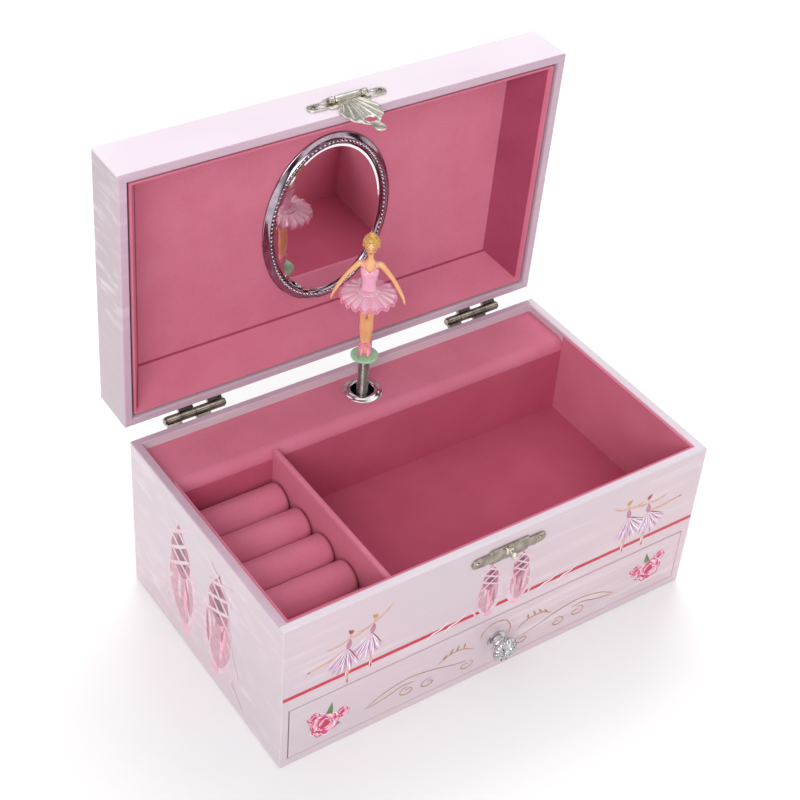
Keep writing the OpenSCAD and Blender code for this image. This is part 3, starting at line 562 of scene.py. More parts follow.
shell = rawBlock(leftLow, rightHigh)
frontInside = bottomLow.y + boardThick
cutAway(shell, rawBlock((-insideX, frontInside, bottomHigh.z), (insideX, backLow.y, caseTop + 5)))
cutAway(shell, rawBlock((-insideX, frontFace - 5, bottomHigh.z), (insideX, frontFace + 9,
    frontLow.z)))
softenEdges(shell, caseLook["edge"])
rounding = caseLook["edge"] + 0.05
score(shell, (0, frontFace + boardThick - rounding, 0), (0, 1, 0))
score(shell, (insideX + rounding, 0, 0), (1, 0, 0))
cutAway(shell, roundCutter(barrelZ, 4, backLow.y - 4, backHigh.y + 4))
wrapped("case_shell", shell, "case", ("left_side_panel", "right_side_panel", "back_panel",
    "front_panel", "bottom_panel"), casePaper)

topLow, topHigh = shutSpan("lid_top_board")
railLow, railHigh = shutSpan("lid_left_rail")
lidRim = railLow.z
lidDeck = topLow.z
lidShell = rawBlock((topLow.x, topLow.y, lidRim), topHigh)
cutAway(lidShell, rawBlock((railHigh.x, railLow.y, lidRim - 5), (-railHigh.x, railHigh.y, lidDeck)))
softenEdges(lidShell, caseLook["edge"])
wrapped("lid_shell", lidShell, "lid", ("lid_top_board", "lid_front_rail", "lid_back_rail",
    "lid_left_rail", "lid_right_rail"), lidPaper, onLid=True)

drawerLow, drawerHigh = span("drawer_front")
drawerLook = {"edge": 0.5}
drawerBoard = rawBlock(drawerLow, drawerHigh)
softenEdges(drawerBoard, drawerLook["edge"])
wrapped("drawer_face", drawerBoard, "drawer", ("drawer_front",), lambda c: plainSheet)
print("wrapped boards made")


# velvet over foam and card
rollLook = {
    "fill": 0.85,
    "pressure": 3.5,
    "mostSwell": 0.5,  # how far the foam may push the cloth out, mm
    "shrink": 0.35,
    "ripple": 0.16,
}


def simulateRoll(size):
    # the velvet is swollen over its foam at ten times life size, then brought back
    length, width, height = size
    r = width / 2 - rollLook["shrink"]
    outline = [(-r, 0)]
    outline += [(-r, (height - r) * k / 8) for k in range(1, 8)]
    outline += [(-r * math.cos(math.pi * k / 24), height - r - 0.3 + r * math.sin(math.pi * k / 24))
        for k in range(25)]
    outline += [(r, (height - r) * k / 8) for k in range(7, 0, -1)]
    outline += [(r, 0)]
    outline += [(r * (1 - k / 4), 0) for k in range(1, 8)]
    loops = []
    half = length / 2 - rollLook["shrink"]
    for x, pull in [(-half, 0.93), (-half + 0.5, 0.975), (-half + 1.3, 1.0)] + [
        (half * (k / 9 - 1) * 0.94, 1.0) for k in range(1, 18)
    ] + [(half - 1.3, 1.0), (half - 0.5, 0.975), (half, 0.93)]:
        loops.append([(x, y * pull, z * pull if z > 1 else z) for y, z in outline])
    points, faces, _ = loft(loops)
    obj = addObject("rollForm", meshFrom("rollForm", points, faces, mm * 10))
    remesh = obj.modifiers.new("remesh", "REMESH")
    remesh.mode = "VOXEL"
    remesh.voxel_size = 0.0085
    settle(obj)
    before = [v.co.copy() for v in obj.data.vertices]
    cloth = obj.modifiers.new("velvet", "CLOTH")
    cloth.settings.use_pressure = True
    cloth.settings.uniform_pressure_force = rollLook["pressure"]
    cloth.settings.effector_weights.gravity = 0
    cloth.settings.quality = 5
    for step in range(1, 15):
        bpy.context.scene.frame_set(step)
    settle(obj)
    bpy.context.scene.frame_set(1)
    most = rollLook["mostSwell"] * mm * 10
    footing = 0.02  # under this height the cloth is held to the tray's card
    for v, rest in zip(obj.data.vertices, before):
        push = v.co - rest
        if push.length > most:
            push *= most / push.length
        if rest.z < footing:
            push *= rest.z / footing
        v.co = rest + push
    grow = obj.modifiers.new("round", "SUBSURF")
    grow.levels = 1
    settle(obj)
    mesh = obj.data
    mesh.transform(Matrix.Scale(0.1, 4))
    bpy.data.objects.remove(obj)
    return mesh


rollMesh = None
for number in range(1, 6):
    low, high = span(f"ring_roll_{number}")
    if rollMesh is None:
        rollMesh = simulateRoll(high - low)
    mesh = rollMesh.copy()
    middle = (low + high) / 2
    flip = Matrix.Rotation(math.pi * (number % 2), 4, "Z")
    mesh.transform(Matrix.Translation(Vector((middle.x, middle.y, low.z)) * mm) @ flip)
    outward = [v.normal.copy() for v in mesh.vertices]
    for v, out in zip(mesh.vertices, outward):
        v.co += out * (noise.noise(v.co * 75) * rollLook["ripple"] - 0.1) * mm
    mesh.materials.clear()
    roll = fit(f"velvet_roll_{number}", mesh, [velvet], "case", (f"ring_roll_{number}",),
        sharp=0)
print("ring rolls filled")

liningLook = {"corner": 0.8, "flap": 11.0}


def roundedRing(halfX, halfY, corner, height, steps=8):
    loop = []
    for quarter, (sx, sy) in enumerate(((1, 1), (-1, 1), (-1, -1), (1, -1))):
        for k in range(steps + 1):
            angle = math.pi / 2 * (quarter + k / steps)
            loop.append((sx * (halfX - corner) + corner * math.cos(angle), sy * (halfY - corner)
                + corner * math.sin(angle), height))
    return loop


liningLow, liningHigh = shutSpan("lid_lining")
panelZ = shutSpan("mirror_glass")[1].z
outX = liningHigh.x
outY = liningHigh.y
slope = liningLook["flap"]
rise = panelZ - liningLow.z
profile = [(0.0, 0.9), (0.15, 0.35), (0.6, 0.05), (1.15, 0.25)]  # the card's folded edge
profile += [(1.15 + (slope - 2.2) * k / 10, 0.25 + (rise - 1.9) * k / 10) for k in range(1, 11)]
profile += [(slope - 0.5, rise - 0.75), (slope - 0.2, rise - 0.2), (slope + 0.3, rise)]
loops = [roundedRing(outX - d, outY - d, liningLook["corner"] - d * 0.03, liningLow.z + h) for d,
    h in profile]
deepRing = loops[-1]
points, faces, _ = loft(loops, False)
ringCount = len(deepRing)


def isCrease(face):
    # the fold at the foot of the flaps, and the mitres at their corners; these faces take the darker velvet,
    # painted shade
    row, column = divmod(min(face), ringCount)
    return row >= len(loops) - 3 or (row > 3 and column % 9 != 8 and max(face) % ringCount != 0)


lining = [(points, [f for f in faces if not isCrease(f)], 0), (points, [f for f in faces
    if isCrease(f)], 1), (deepRing, [list(range(ringCount))], 0)]
back = roundedRing(outX - 0.1, outY - 0.1, liningLook["corner"], liningLow.z + 1.4)
deep = roundedRing(outX - slope, outY - slope, liningLook["corner"], liningHigh.z - 0.05)
lining.append(loft([loops[0], back, deep], False))
lining.append((deep, [list(range(len(deep)))], 0))
piece("lid_velvet", lining, [velvet, creaseShadeVelvet], "lid", ("lid_lining",), onLid=True,
    sharp=28)
print("lid lined")

# mirror in its beaded frame
mirrorLook = {"beads": 100, "beadRadius": 0.62, "beadInset": 3.5}
glassLook = {"inset": 5.05, "bevel": 1.55}
frameLow, frameHigh = shutSpan("mirror_frame")
ovalX = frameHigh.x
ovalY = (frameHigh.y - frameLow.y) / 2
ovalMiddle = (frameHigh.y + frameLow.y) / 2


def ovalLoop(inset, depth, steps=144):
    loop = []
    for k in range(steps):
        angle = math.tau * k / steps
        out = Vector((math.cos(angle) / ovalX, math.sin(angle) / ovalY, 0)).normalized()
        loop.append(Vector((ovalX * math.cos(angle), ovalMiddle + ovalY * math.sin(angle), panelZ
            - depth)) - out * inset)
    return loop


frameProfile = [(0.0, 0.0), (0.02, 0.5), (0.12, 0.75), (0.3, 0.85), (0.45, 0.72), (0.6, 0.8), (1.6,
    1.5), (2.4, 1.95), (2.65, 2.3), (2.75, 2.05), (2.9, 1.9), (4.1, 1.9), (4.25, 2.1), (4.4, 2.55),
    (4.65, 2.5), (4.9, 1.6), (5.0, 0.0)]
frameLoops = [ovalLoop(d, h) for d, h in frameProfile]
mirrorParts = [loft(frameLoops + [frameLoops[0]], False)]
beadPath = ovalLoop(mirrorLook["beadInset"], 2.1, 720)
lengths = [0.0]
for a, b in zip(beadPath, beadPath[1:] + beadPath[:1]):
    lengths.append(lengths[-1] + (b - a).length)
step = lengths[-1] / mirrorLook["beads"]
k = 0
for number in range(mirrorLook["beads"]):
    while lengths[k + 1] < number * step:
        k += 1
    mirrorParts.append(ball(beadPath[k], [mirrorLook["beadRadius"]] * 3, 12, 1))
# the surround's flange wears the pink-grey chrome, a painted reflection; the beads are plain chrome
piece("mirror_surround", mirrorParts, [reflectionTintChrome, chrome], "lid", ("mirror_frame",),
    onLid=True, sharp=50)
glassEdge = glassLook["inset"]
glassRing = ovalLoop(glassEdge + glassLook["bevel"], 1.45)
glassLoops = [ovalLoop(glassEdge, 0.3), ovalLoop(glassEdge, 1.1), ovalLoop(glassEdge + 0.45, 1.35)]
glassParts = [loft(glassLoops + [glassRing], False), (glassRing, [list(range(len(glassRing)))], 0)]
piece("mirror_plate", glassParts, [mirrorSilver], "lid", ("mirror_glass",), onLid=True,
    sharp=4)
print("mirror fitted")

# hasp, catch and knob
haspLook = {"ribs": 9, "lobes": 5, "ribDepth": 0.16}
plateLook = {"wave": 0.35, "nailHole": 0.55, "mountHole": 1.6, "edge": 0.22}
buttonLook = {"headRadius": 1.78}
catchLow, catchHigh = span("catch_plate")
shellLow, shellHigh = shutSpan("hasp_shell")
pinLow, pinHigh = shutSpan("hasp_pin")
pivotZ = (pinLow.z + pinHigh.z) / 2
pivotY = (pinLow.y + pinHigh.y) / 2
plateThick = catchHigh.y - catchLow.y


def plateEdge(half, tall, lower):
    # wavy plate: round ends, a waist, then a wide middle
    top = []
    count = 60
    for k in range(count + 1):
        x = -half + 2 * half * k / count
        u = abs(x) / half
        end = 2.7 * math.sqrt(max(0.0, 1 - max(0.0, (u * half - half + 2.7) / 2.7) ** 2))
        middle = tall / 2 / (1 + math.exp((u * half - half + 8.5) * 1.4))
        top.append((x, max(end, middle) if u > 0.5 else max(end, tall / 2)))
    edge = [(x, min(h, tall / 2)) for x, h in top]
    wave = [(x, -min(h + lower * math.cos(x * 0.95) * (abs(x) < half - 4), tall / 2)) for x, h in top]
    return edge + wave[::-1][1:-1]


plateHalf = (catchHigh.x - catchLow.x) / 2
plateTall = catchHigh.z - catchLow.z
holeX = plateHalf - 3
plateY = (catchLow.y + catchHigh.y) / 2


def stampedPlate(height, holes):
    outlines = [plateEdge(plateHalf, plateTall, plateLook["wave"])]
    outlines += [ring(x, 0, radius) for x, radius in holes]
    plateAt = Matrix.Translation((0, plateY, height)) @ upright
    return moved(stamped(outlines, plateThick, plateLook["edge"]), plateAt)


nailHoles = [(-holeX, plateLook["nailHole"]), (holeX, plateLook["nailHole"])]
mountHoles = nailHoles + [(-12.3, plateLook["mountHole"]), (12.3, plateLook["mountHole"])]
catchParts = [stampedPlate((catchLow.z + catchHigh.z) / 2, nailHoles)]
piece("catch_plate_stamped", catchParts, [nickel], "case", ("catch_plate",))
mountParts = [stampedPlate(pivotZ, mountHoles)]
for lugX in (-8.0, 8.0):
    lug = [(lugX + d, pivotY, pivotZ) for d in (-1.2, -1.0, 1.0, 1.2)]
    mountParts.append(tube(lug, [1.2, 1.4, 1.4, 1.2], 24))
    low, high = (lugX - 1.1, pivotY, pivotZ + 0.1), (lugX + 1.1, catchHigh.y - 0.3, pivotZ + 1.2)
    mountParts.append(boxPart(low, high))
piece("hasp_mount_stamped", mountParts, [silver], "lid", ("hasp_mount",), onLid=True)

studLow, studHigh = span("catch_stud")
studZ = (studLow.z + studHigh.z) / 2
studFace = catchLow.y
reach = studFace - studLow.y
studProfile = [(0.0, 0.0), (1.9, 0.0), (1.9, 0.3), (1.6, 0.55), (1.1, 0.7), (1.0, 1.0)]
head = buttonLook["headRadius"]
studProfile += [(head * math.cos(a), reach - head + head * math.sin(a)) for a in [-0.95, -0.6, -0.3,
    0.0, 0.3, 0.6, 0.9, 1.2, 1.4, 1.57]]
studAt = Matrix.Translation((0, studFace, studZ)) @ upright
piece("catch_button", [moved(turned(studProfile, 40), studAt)], [silver], "case", ("catch_stud",))


def haspFan():
    # a scallop shell: ribs fan out from its neck to five lobes, over the hole for the stud
    holeDown = pivotZ - studZ
    rows, around = 26, 120
    neck = 5.2
    middle = 9.5  # how far below the pin the fan is widest
    outline = []
    for k in range(around + 1):
        angle = (k / around * 2 - 1) * 2.3
        lobe = 0.9 + 0.1 * abs(math.cos(angle * haspLook["lobes"] / 2))
        tall = holeDown + 3.6 - middle if math.cos(angle) > 0 else middle - 2
        outline.append((9.3 * math.sin(angle) * lobe, middle + tall * math.cos(angle) * lobe))
    front, back = [], []
    for i in range(rows + 1):
        v = i / rows
        for k in range(around + 1):
            u = k / around * 2 - 1
            startX = u * neck
            endX, endDrop = outline[k]
            drop = 1.0 + (endDrop - 1.0) * v
            x = startX + (endX - startX) * v ** (1.0 + 0.4 * abs(u))
            ribs = haspLook["ribDepth"] * math.cos(u * math.pi * haspLook["ribs"]) * min(1, v * 2.5)
            crown = 0.35 * (1 - u * u) * min(1, v * 3)
            edge = 0.16 * max(0, v - 0.93) / 0.07
            front.append((x, -0.55 - crown * 0.35 - ribs + edge, -drop))
            back.append((x, 0.0, -drop))
    return front, back, rows, around + 1


front, back, rows, columns = haspFan()
shellY = shellHigh.y - 0.02 if shellHigh.y < frontFace else frontFace - plateThick - 0.3
holeRadius = 2.6


def fanFaces(offset, flip):
    made = []
    for i in range(rows):
        for k in range(columns - 1):
            a = offset + i * columns + k
            face = [a, a + 1, a + columns + 1, a + columns]
            made.append(face[::-1] if flip else face)
    return made


count = len(front)
fanFacesAll = fanFaces(0, False) + fanFaces(count, True)
rimLoop = [i * columns for i in range(rows + 1)]
rimLoop += [rows * columns + k for k in range(1, columns)]
rimLoop += [i * columns + columns - 1 for i in range(rows - 1, -1, -1)]
rimLoop += [k for k in range(columns - 2, 0, -1)]
for i, a in enumerate(rimLoop):
    b = rimLoop[(i + 1) % len(rimLoop)]
    fanFacesAll.append([a, b, b + count, a + count])
neckAt = Vector((0, shellY, pivotZ))
fanMesh = meshFrom("haspFan", [neckAt + Vector(p) for p in front + back], fanFacesAll)
faceOutward(fanMesh)
fan = addObject("fanForm", fanMesh)
cutAway(fan, roundCutter(studZ, holeRadius, shellY - 4, shellY + 3))
fanMesh = fan.data
fanMesh.transform(Matrix.Scale(1 / mm, 4))
fanPart = partFrom(fanMesh)
bpy.data.objects.remove(fan)
barrel = [(x, pivotY, pivotZ) for x in (-6.2, -6.0, -5.0, 0, 5.0, 6.0, 6.2)]
haspParts = [fanPart, tube(barrel, [1.25, 1.4, 1.4, 1.4, 1.4, 1.4, 1.25], 28)]
tabR = 2.7
tabZ = shellLow.z + tabR
tongue = [(tabR * math.sin(a), -tabR * math.cos(a)) for a in [math.tau * k / 40 for k in range(-14,
    15)]]
tongue += [(2.3, 4.6), (-2.3, 4.6)]
tabAt = Matrix.Translation((0, shellY - 0.45, tabZ)) @ upright
haspParts.append(moved(stamped([tongue], 0.7, 0.22), tabAt))
eyeProfile = [(2.62, -0.05), (2.64, 0.7), (2.8, 0.82), (3.0, 0.8), (3.15, 0.5)]
eyeAt = Matrix.Translation((0, shellY, studZ)) @ upright
haspParts.append(moved(turned(eyeProfile, 48), eyeAt))
piece("hasp_scallop", haspParts, [silver], "hasp", ("hasp_shell",), onLid=True, sharp=60)

knobLook = {"flutes": 20, "fluteDepth": 0.55, "faceDepth": 0.55}
knobLow, knobHigh = span("drawer_knob")
knobZ = (knobLow.z + knobHigh.z) / 2
knobR = (knobHigh.x - knobLow.x) / 2
knobLength = knobHigh.y - knobLow.y
knobProfile = [(0.0, 0.0), (4.6, 0.0), (4.75, 0.25), (4.7, 0.8), (4.3, 1.05), (3.1, 1.3), (2.9,
    1.9), (2.95, 3.4), (3.4, 3.7), (4.5, 3.9), (4.75, 4.2), (4.7, 4.7), (4.4, 5.0), (4.6, 5.4),
    (knobR - 0.5, 6.0), (knobR - 0.08, 6.5), (knobR, 7.2), (knobR - 0.12, 7.9), (knobR - 0.55, 8.5),
    (knobR - 1.1, 8.75), (knobR - 1.7, 8.7), (3.9, 9.0), (2.9, 9.35), (2.0, 9.6), (1.5, 9.45), (1.1,
    9.75), (0.0, knobLength - 0.05)]


def knobRipple(i, angle, radius, height):
    if 14 <= i <= 18:
        radius -= knobLook["fluteDepth"] * (0.5 - 0.5 * math.cos(angle * knobLook["flutes"]))
    if 20 <= i <= 24:
        height -= knobLook["faceDepth"] * (0.5 - 0.5 * math.cos(angle * knobLook["flutes"] / 2))
    return radius, height


knobAt = Matrix.Translation((0, knobHigh.y, knobZ)) @ upright
knobPart = moved(turned(knobProfile, 240, 0, knobRipple), knobAt)
piece("fluted_knob", [knobPart], [chrome], "drawer", ("drawer_knob",), sharp=50)
print("hasp, catch and knob made")

# eyelet and spring
eyeletLook = {"bore": 5.3}
ledgeZ = span("housing_top")[1].z
eyeLow, eyeHigh = span("eyelet")
dancerY = (eyeLow.y + eyeHigh.y) / 2
eyeR = (eyeHigh.x - eyeLow.x) / 2
eyeTall = eyeHigh.z - ledgeZ
boreR = eyeletLook["bore"]
eyeFoot = eyeLow.z - ledgeZ
eyeletProfile = [(boreR, eyeFoot), (boreR, 0.2), (boreR + 0.1, eyeTall * 0.55)]
eyeletProfile += [(boreR + 0.45, eyeTall * 0.88), (boreR + 1.1, eyeTall), (boreR + 1.8, eyeTall
    * 0.9)]
eyeletProfile += [(boreR + 2.4, eyeTall * 0.62), (eyeR - 0.9, 0.62), (eyeR - 0.25, 0.5), (eyeR, 0.25)]
eyeletProfile += [(eyeR - 0.05, 0.02), (boreR + 0.6, 0.01), (boreR + 0.6, eyeFoot), (boreR, eyeFoot)]
eyeletPart = moved(turned(eyeletProfile, 96), Matrix.Translation((0, dancerY, ledgeZ)))
piece("ledge_eyelet", [eyeletPart], [chrome], "case", ("eyelet",), sharp=55)

springLook = {"wire": 0.62, "turn": 0.64, "bend": 4.5}
footLow, footHigh = span("spring_foot")
springR = (footHigh.x - footLow.x) / 2 - springLook["wire"] / 2
springPath, springSteps = [], 22
turns = (span("spring_top")[1].z - footLow.z) / springLook["turn"]
for k in range(int(turns * springSteps) + 1):
    angle = math.tau * k / springSteps
    rise = footLow.z + springLook["turn"] * k / springSteps
    springPath.append((springR * math.cos(angle), dancerY + springR * math.sin(angle), rise))
wound = [tube(springPath, springLook["wire"] / 2, 8)]
springStands = ("spring_foot", "spring_top")
spring = piece("folding_spring", wound, [steel], None, springStands, sharp=0)
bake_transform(spring)
print("spring wound:", len(springPath), "points")

# the dancer, in her own millimetres from the top of the stand, facing -Y
bodyLook = {"skinGrain": 0.34}  # size of the mesh the limbs are moulded in, mm
hairLook = {"strands": 26, "bunTurns": 3, "bunThick": 0.72}
faceLook = {"lash": 0.1, "brow": 0.06}
bodiceLook = {"stand": 0.42, "quilting": 0.05, "strap": 0.26}
skirtLook = {"frills": 17, "frillDrop": 0.95, "lip": 0.62}
shoeLook = {"wraps": 3, "ribbon": 0.3, "bow": 0.28}
turfLook = {"tall": 1.6, "tufts": 9}
standLow, standHigh = span("dancer_stand")
facing = math.radians(-37)
atFigure = Matrix.Translation((0, dancerY, standHigh.z)) @ Matrix.Rotation(facing, 4, "Z")
standR = (standHigh.x - standLow.x) / 2
headBow = Matrix.Translation((0, -0.1, 55.3)) @ Matrix.Rotation(0.14, 4, "X") @ Matrix.Scale(1.13, 4)
atHead = atFigure @ headBow


def mirrored(side, spots):
    return [(side * x, y, z) for x, y, z in spots]


def resample(values, steps):
    made = []
    for a, b in zip(values, values[1:]):
        made += [a + (b - a) * k / steps for k in range(steps)]
    return made + [values[-1]]


def limb(knots, radii, steps, sides):
    return tube(smoothPath(knots, steps), resample(radii, steps), sides)


def mouldBody():
    solids = []
    legRadii = [(0, 0.9, 1.15), (4, 1.0, 1.1), (7.5, 1.15, 1.15), (11, 1.3, 1.55), (14.5, 1.45, 1.72)]
    legRadii += [(18, 1.6, 1.5), (20.5, 1.7, 1.42), (23.5, 1.75, 1.7), (27, 1.85, 2.0), (31, 1.9,
        2.15)]
    for side in (-1, 1):
        leg = [(side * x, 0.35 * math.sin(z * 0.18), z) for z, x, r in legRadii]
        solids.append(limb(leg, [r for z, x, r in legRadii], 4, 20))
        arm = [(3.6, 0.1, 49.4), (4.8, 0, 49.0), (6.6, -0.3, 47.2), (8.9, -0.8, 44.6), (10.9, -1.2,
            42.0)]
        arm += [(12.9, -1.8, 38.8), (14.7, -2.4, 35.6), (15.5, -2.7, 33.9)]
        thick = [1.3, 1.45, 1.25, 1.14, 1.02, 0.98, 0.82, 0.7]
        solids.append(limb(mirrored(side, arm), thick, 4, 16))
        solids.append(ball((side * 4.3, 0.05, 49.3), (1.42, 1.35, 1.4), 20))
        palm = Matrix.Translation((side * 15.95, -3.0, 32.75)) @ Matrix.Rotation(side * -0.3, 4, "Y")
        solids.append(moved(ball((0, 0, 0), (0.6, 0.95, 1.4), 16), palm))
        for finger in range(3):
            start = Vector((side * 16.0, -3.45 + finger * 0.42, 32.1))
            tip = start + Vector((side * 0.55, -0.25 + finger * 0.16, -1.0 + abs(finger - 1) * 0.12))
            knuckle = (start + tip) / 2 + Vector((side * 0.12, 0, 0))
            solids.append(tube([start, knuckle, tip], [0.34, 0.3, 0.2], 8))
    torso = [(28.2, 2.6, 2.0), (30.0, 3.7, 2.7), (32.0, 3.95, 2.85), (34.5, 3.4, 2.5), (37.0, 2.75,
        2.15), (39.0, 2.65, 2.1), (42.0, 3.1, 2.45), (44.5, 3.55, 2.95), (46.5, 3.7, 2.8), (48.5,
        3.95, 2.2), (50.0, 3.2, 1.7), (51.0, 1.9, 1.45), (52.0, 1.35, 1.3), (55.6, 1.28, 1.25)]
    loops = []
    for height, halfX, halfY in torso:
        loops.append([(halfX * math.cos(math.tau * k / 32), halfY * math.sin(math.tau * k / 32),
            height) for k in range(32)])
    solids.append(loft(loops))
    solids.append(ball((-1.7, -1.75, 45.0), (1.45, 1.15, 1.4), 16))
    solids.append(ball((1.7, -1.75, 45.0), (1.45, 1.15, 1.4), 16))
    # skull, jaw, chin, a small nose and the ears, bowed a little
    for centre, radii in (((0, 0.1, 4.3), (3.0, 3.35, 3.2)), ((0, -0.75, 2.6), (2.3, 2.2, 2.45)),
        ((0, -1.45, 1.15), (1.15, 1.15, 1.0)), ((0, -3.05, 2.95), (0.4, 0.5, 0.7)), ((-2.95, 0.2,
        3.1), (0.35, 0.6, 0.85)), ((2.95, 0.2, 3.1), (0.35, 0.6, 0.85))):
        solids.append(moved(ball((0, 0, 0), radii, 24), headBow @ Matrix.Translation(centre)))
    return solids


bodyObj = piece("bodyForm", mouldBody(), [fleshPlastic], None, sharp=0)
remesh = bodyObj.modifiers.new("mould", "REMESH")
remesh.mode = "VOXEL"
remesh.voxel_size = bodyLook["skinGrain"] * mm
soften = bodyObj.modifiers.new("soften", "SMOOTH")
soften.factor = 0.5
soften.iterations = 5
bodyMesh = settle(bodyObj)
bpy.data.objects.remove(bodyObj)
bodyMesh.transform(Matrix.Scale(mm, 4) @ atFigure @ Matrix.Scale(1 / mm, 4))
bodyMesh.materials.clear()
fit("dancer_body", bodyMesh, [fleshPlastic], "dancer", ("dancer_figure",), sharp=0)


def hairCap(steps=64, rows=26):
    # swept back from the brow to the crown, with combed strands
    loops = []
    for i in range(rows + 1):
        v = i / rows
        loop = []
        for k in range(steps):
            angle = math.tau * k / steps
            facingFront = max(0.0, -math.sin(angle))
            lowest = 2.05 - 1.28 * facingFront**1.4
            polar = lowest * (1 - v) + 0.02
            strand = 0.09 * math.sin(angle * hairLook["strands"] + v * 4)
            swell = 1.08 + 0.05 * math.sin(v * math.pi) + strand * 0.35
            loop.append((3.05 * swell * math.sin(polar) * math.cos(angle), 0.35 + 3.45 * swell
                * math.sin(polar) * math.sin(angle), 4.35 + 3.3 * swell * math.cos(polar)))
        loops.append(loop)
    return loft(loops)


def coil(centre, radius, rise, turns, thick, tilt):
    path = []
    for k in range(turns * 16 + 1):
        t = k / (turns * 16)
        angle = math.tau * turns * t
        r = radius * (1 - 0.62 * t)
        path.append((r * math.cos(angle), r * math.sin(angle), rise * t))
    widths = [thick * (1 - 0.25 * k / len(path)) for k in range(len(path))]
    return moved(tube(path, widths, 10), Matrix.Translation(centre) @ Matrix.Rotation(tilt, 4, "X"))


bun = coil((0, 1.0, 7.1), 1.35, 1.35, hairLook["bunTurns"], hairLook["bunThick"], -0.35)
hairParts = [hairCap(), bun, ball((0, 1.1, 7.6), (1.45, 1.45, 1.1), 20)]
wave = [(0.5, -2.6, 6.7), (1.5, -2.7, 6.1), (2.4, -2.0, 5.2), (2.95, -0.9, 4.3), (3.0, 0.6, 3.6)]
for side in (-1, 1):
    hairParts.append(limb(mirrored(side, wave), [0.4, 0.62, 0.66, 0.55, 0.3], 6, 10))
hairParts = [moved(part, atHead) for part in hairParts]
piece("dancer_hair", hairParts, [goldHair], "dancer", (), sharp=0)

faceParts = []
lash = [(0.62, -3.05, 3.62), (1.05, -2.98, 3.5), (1.5, -2.78, 3.52), (1.85, -2.5, 3.68)]
brow = [(0.55, -3.1, 4.5), (1.1, -3.02, 4.78), (1.8, -2.62, 4.6)]
for side in (-1, 1):
    faceParts.append(tube(smoothPath(mirrored(side, lash), 5), faceLook["lash"], 8))
    faceParts.append(tube(smoothPath(mirrored(side, brow), 5), faceLook["brow"], 8))
faceParts.append(ball((0, -2.86, 1.9), (0.55, 0.24, 0.2), 16, 1))
faceParts.append(ball((0, -2.84, 1.66), (0.42, 0.24, 0.17), 16, 1))
faceParts = [moved(part, atHead) for part in faceParts]
piece("dancer_face_paint", faceParts, [browPaint, lipPaint], "dancer", (), sharp=0)


def bodicePart(low=34.6, high=47.6, rows=22, steps=72):
    # a fitted bodice with a heart-shaped neck
    waist = [(34.5, 3.4, 2.5), (37, 2.78, 2.18), (39, 2.68, 2.12), (42, 3.12, 2.5)]
    bust = [(44.5, 3.6, 3.05), (46.5, 3.78, 3.0), (48.5, 4.0, 2.3)]
    table = waist + bust
    loops = []
    for layer, grow in ((0, bodiceLook["stand"]), (1, 0.1)):
        order = range(rows + 1) if layer == 0 else range(rows, -1, -1)
        for i in order:
            loop = []
            for k in range(steps):
                angle = math.tau * k / steps
                front = max(0.0, -math.sin(angle))
                heart = 0.75 * front * abs(math.cos(angle)) * 2 - 1.0 * front**12 - 2.0 * (1
                    - front) * 0.6
                top = high + heart
                height = low + (top - low) * i / rows
                for (z0, a0, b0), (z1, a1, b1) in zip(table, table[1:]):
                    if z0 <= height <= z1 or z1 == 48.5:
                        t = (height - z0) / (z1 - z0)
                        halfX, halfY = a0 + (a1 - a0) * t, b0 + (b1 - b0) * t
                        break
                swell = 0.62 * math.exp(-(((height - 45.0) / 1.5) ** 2)) * front
                swell *= abs(math.sin(angle * 2)) ** 0.5
                dots = bodiceLook["quilting"] * math.sin(height * 5.2) * math.sin(angle * 24)
                r = grow + swell + (dots if layer == 0 else 0)
                loop.append(((halfX + r) * math.cos(angle), (halfY + r) * math.sin(angle), height))
            loops.append(loop)
    return loft(loops + [loops[0]], False)


bodiceParts = [bodicePart()]
strap = [(1.9, -3.2, 46.4), (2.35, -2.6, 48.3), (2.75, -1.2, 50.15), (2.8, 0.4, 50.6), (2.3, 1.7,
    49.3)]
strap.append((1.7, 2.55, 46.6))
for side in (-1, 1):
    bodiceParts.append(tube(smoothPath(mirrored(side, strap), 6), bodiceLook["strap"], 8))
bodiceParts = [moved(part, atFigure) for part in bodiceParts]
piece("dancer_bodice", bodiceParts, [satinBodice], "dancer", (), sharp=0)

tutuLow, tutuHigh = span("dancer_tutu")
tutuR = (tutuHigh.x - tutuLow.x) / 2


def frill(inner, outer, top, drop, waves, wave, phase, index=0, rows=18, steps=228):
    loops = []
    for face, sink in ((0, 0.0), (1, 0.42)):
        order = range(rows + 1) if face == 0 else range(rows, -1, -1)
        for i in order:
            v = i / rows
            loop = []
            for k in range(steps):
                angle = math.tau * k / steps
                flow = math.sin(angle * waves + phase + 0.7 * math.sin(angle * 3 + phase))
                fold = math.sin(angle * waves * 2 + phase * 2.3)
                r = inner + (outer - inner) * (v - 0.02 * v * v * (1 + flow))
                h = top - drop * v**1.5 + wave * (0.72 * flow + 0.28 * fold) * v**2.2
                h += 0.1 * math.sin(angle * 76 + phase) * math.sin(math.pi * v)
                thick = sink * (1 + 0.9 * max(0.0, v - 0.8) / 0.2)
                loop.append((r * math.cos(angle), r * math.sin(angle), h - thick))
            loops.append(loop)
    return loft(loops + [loops[0]], False, index)


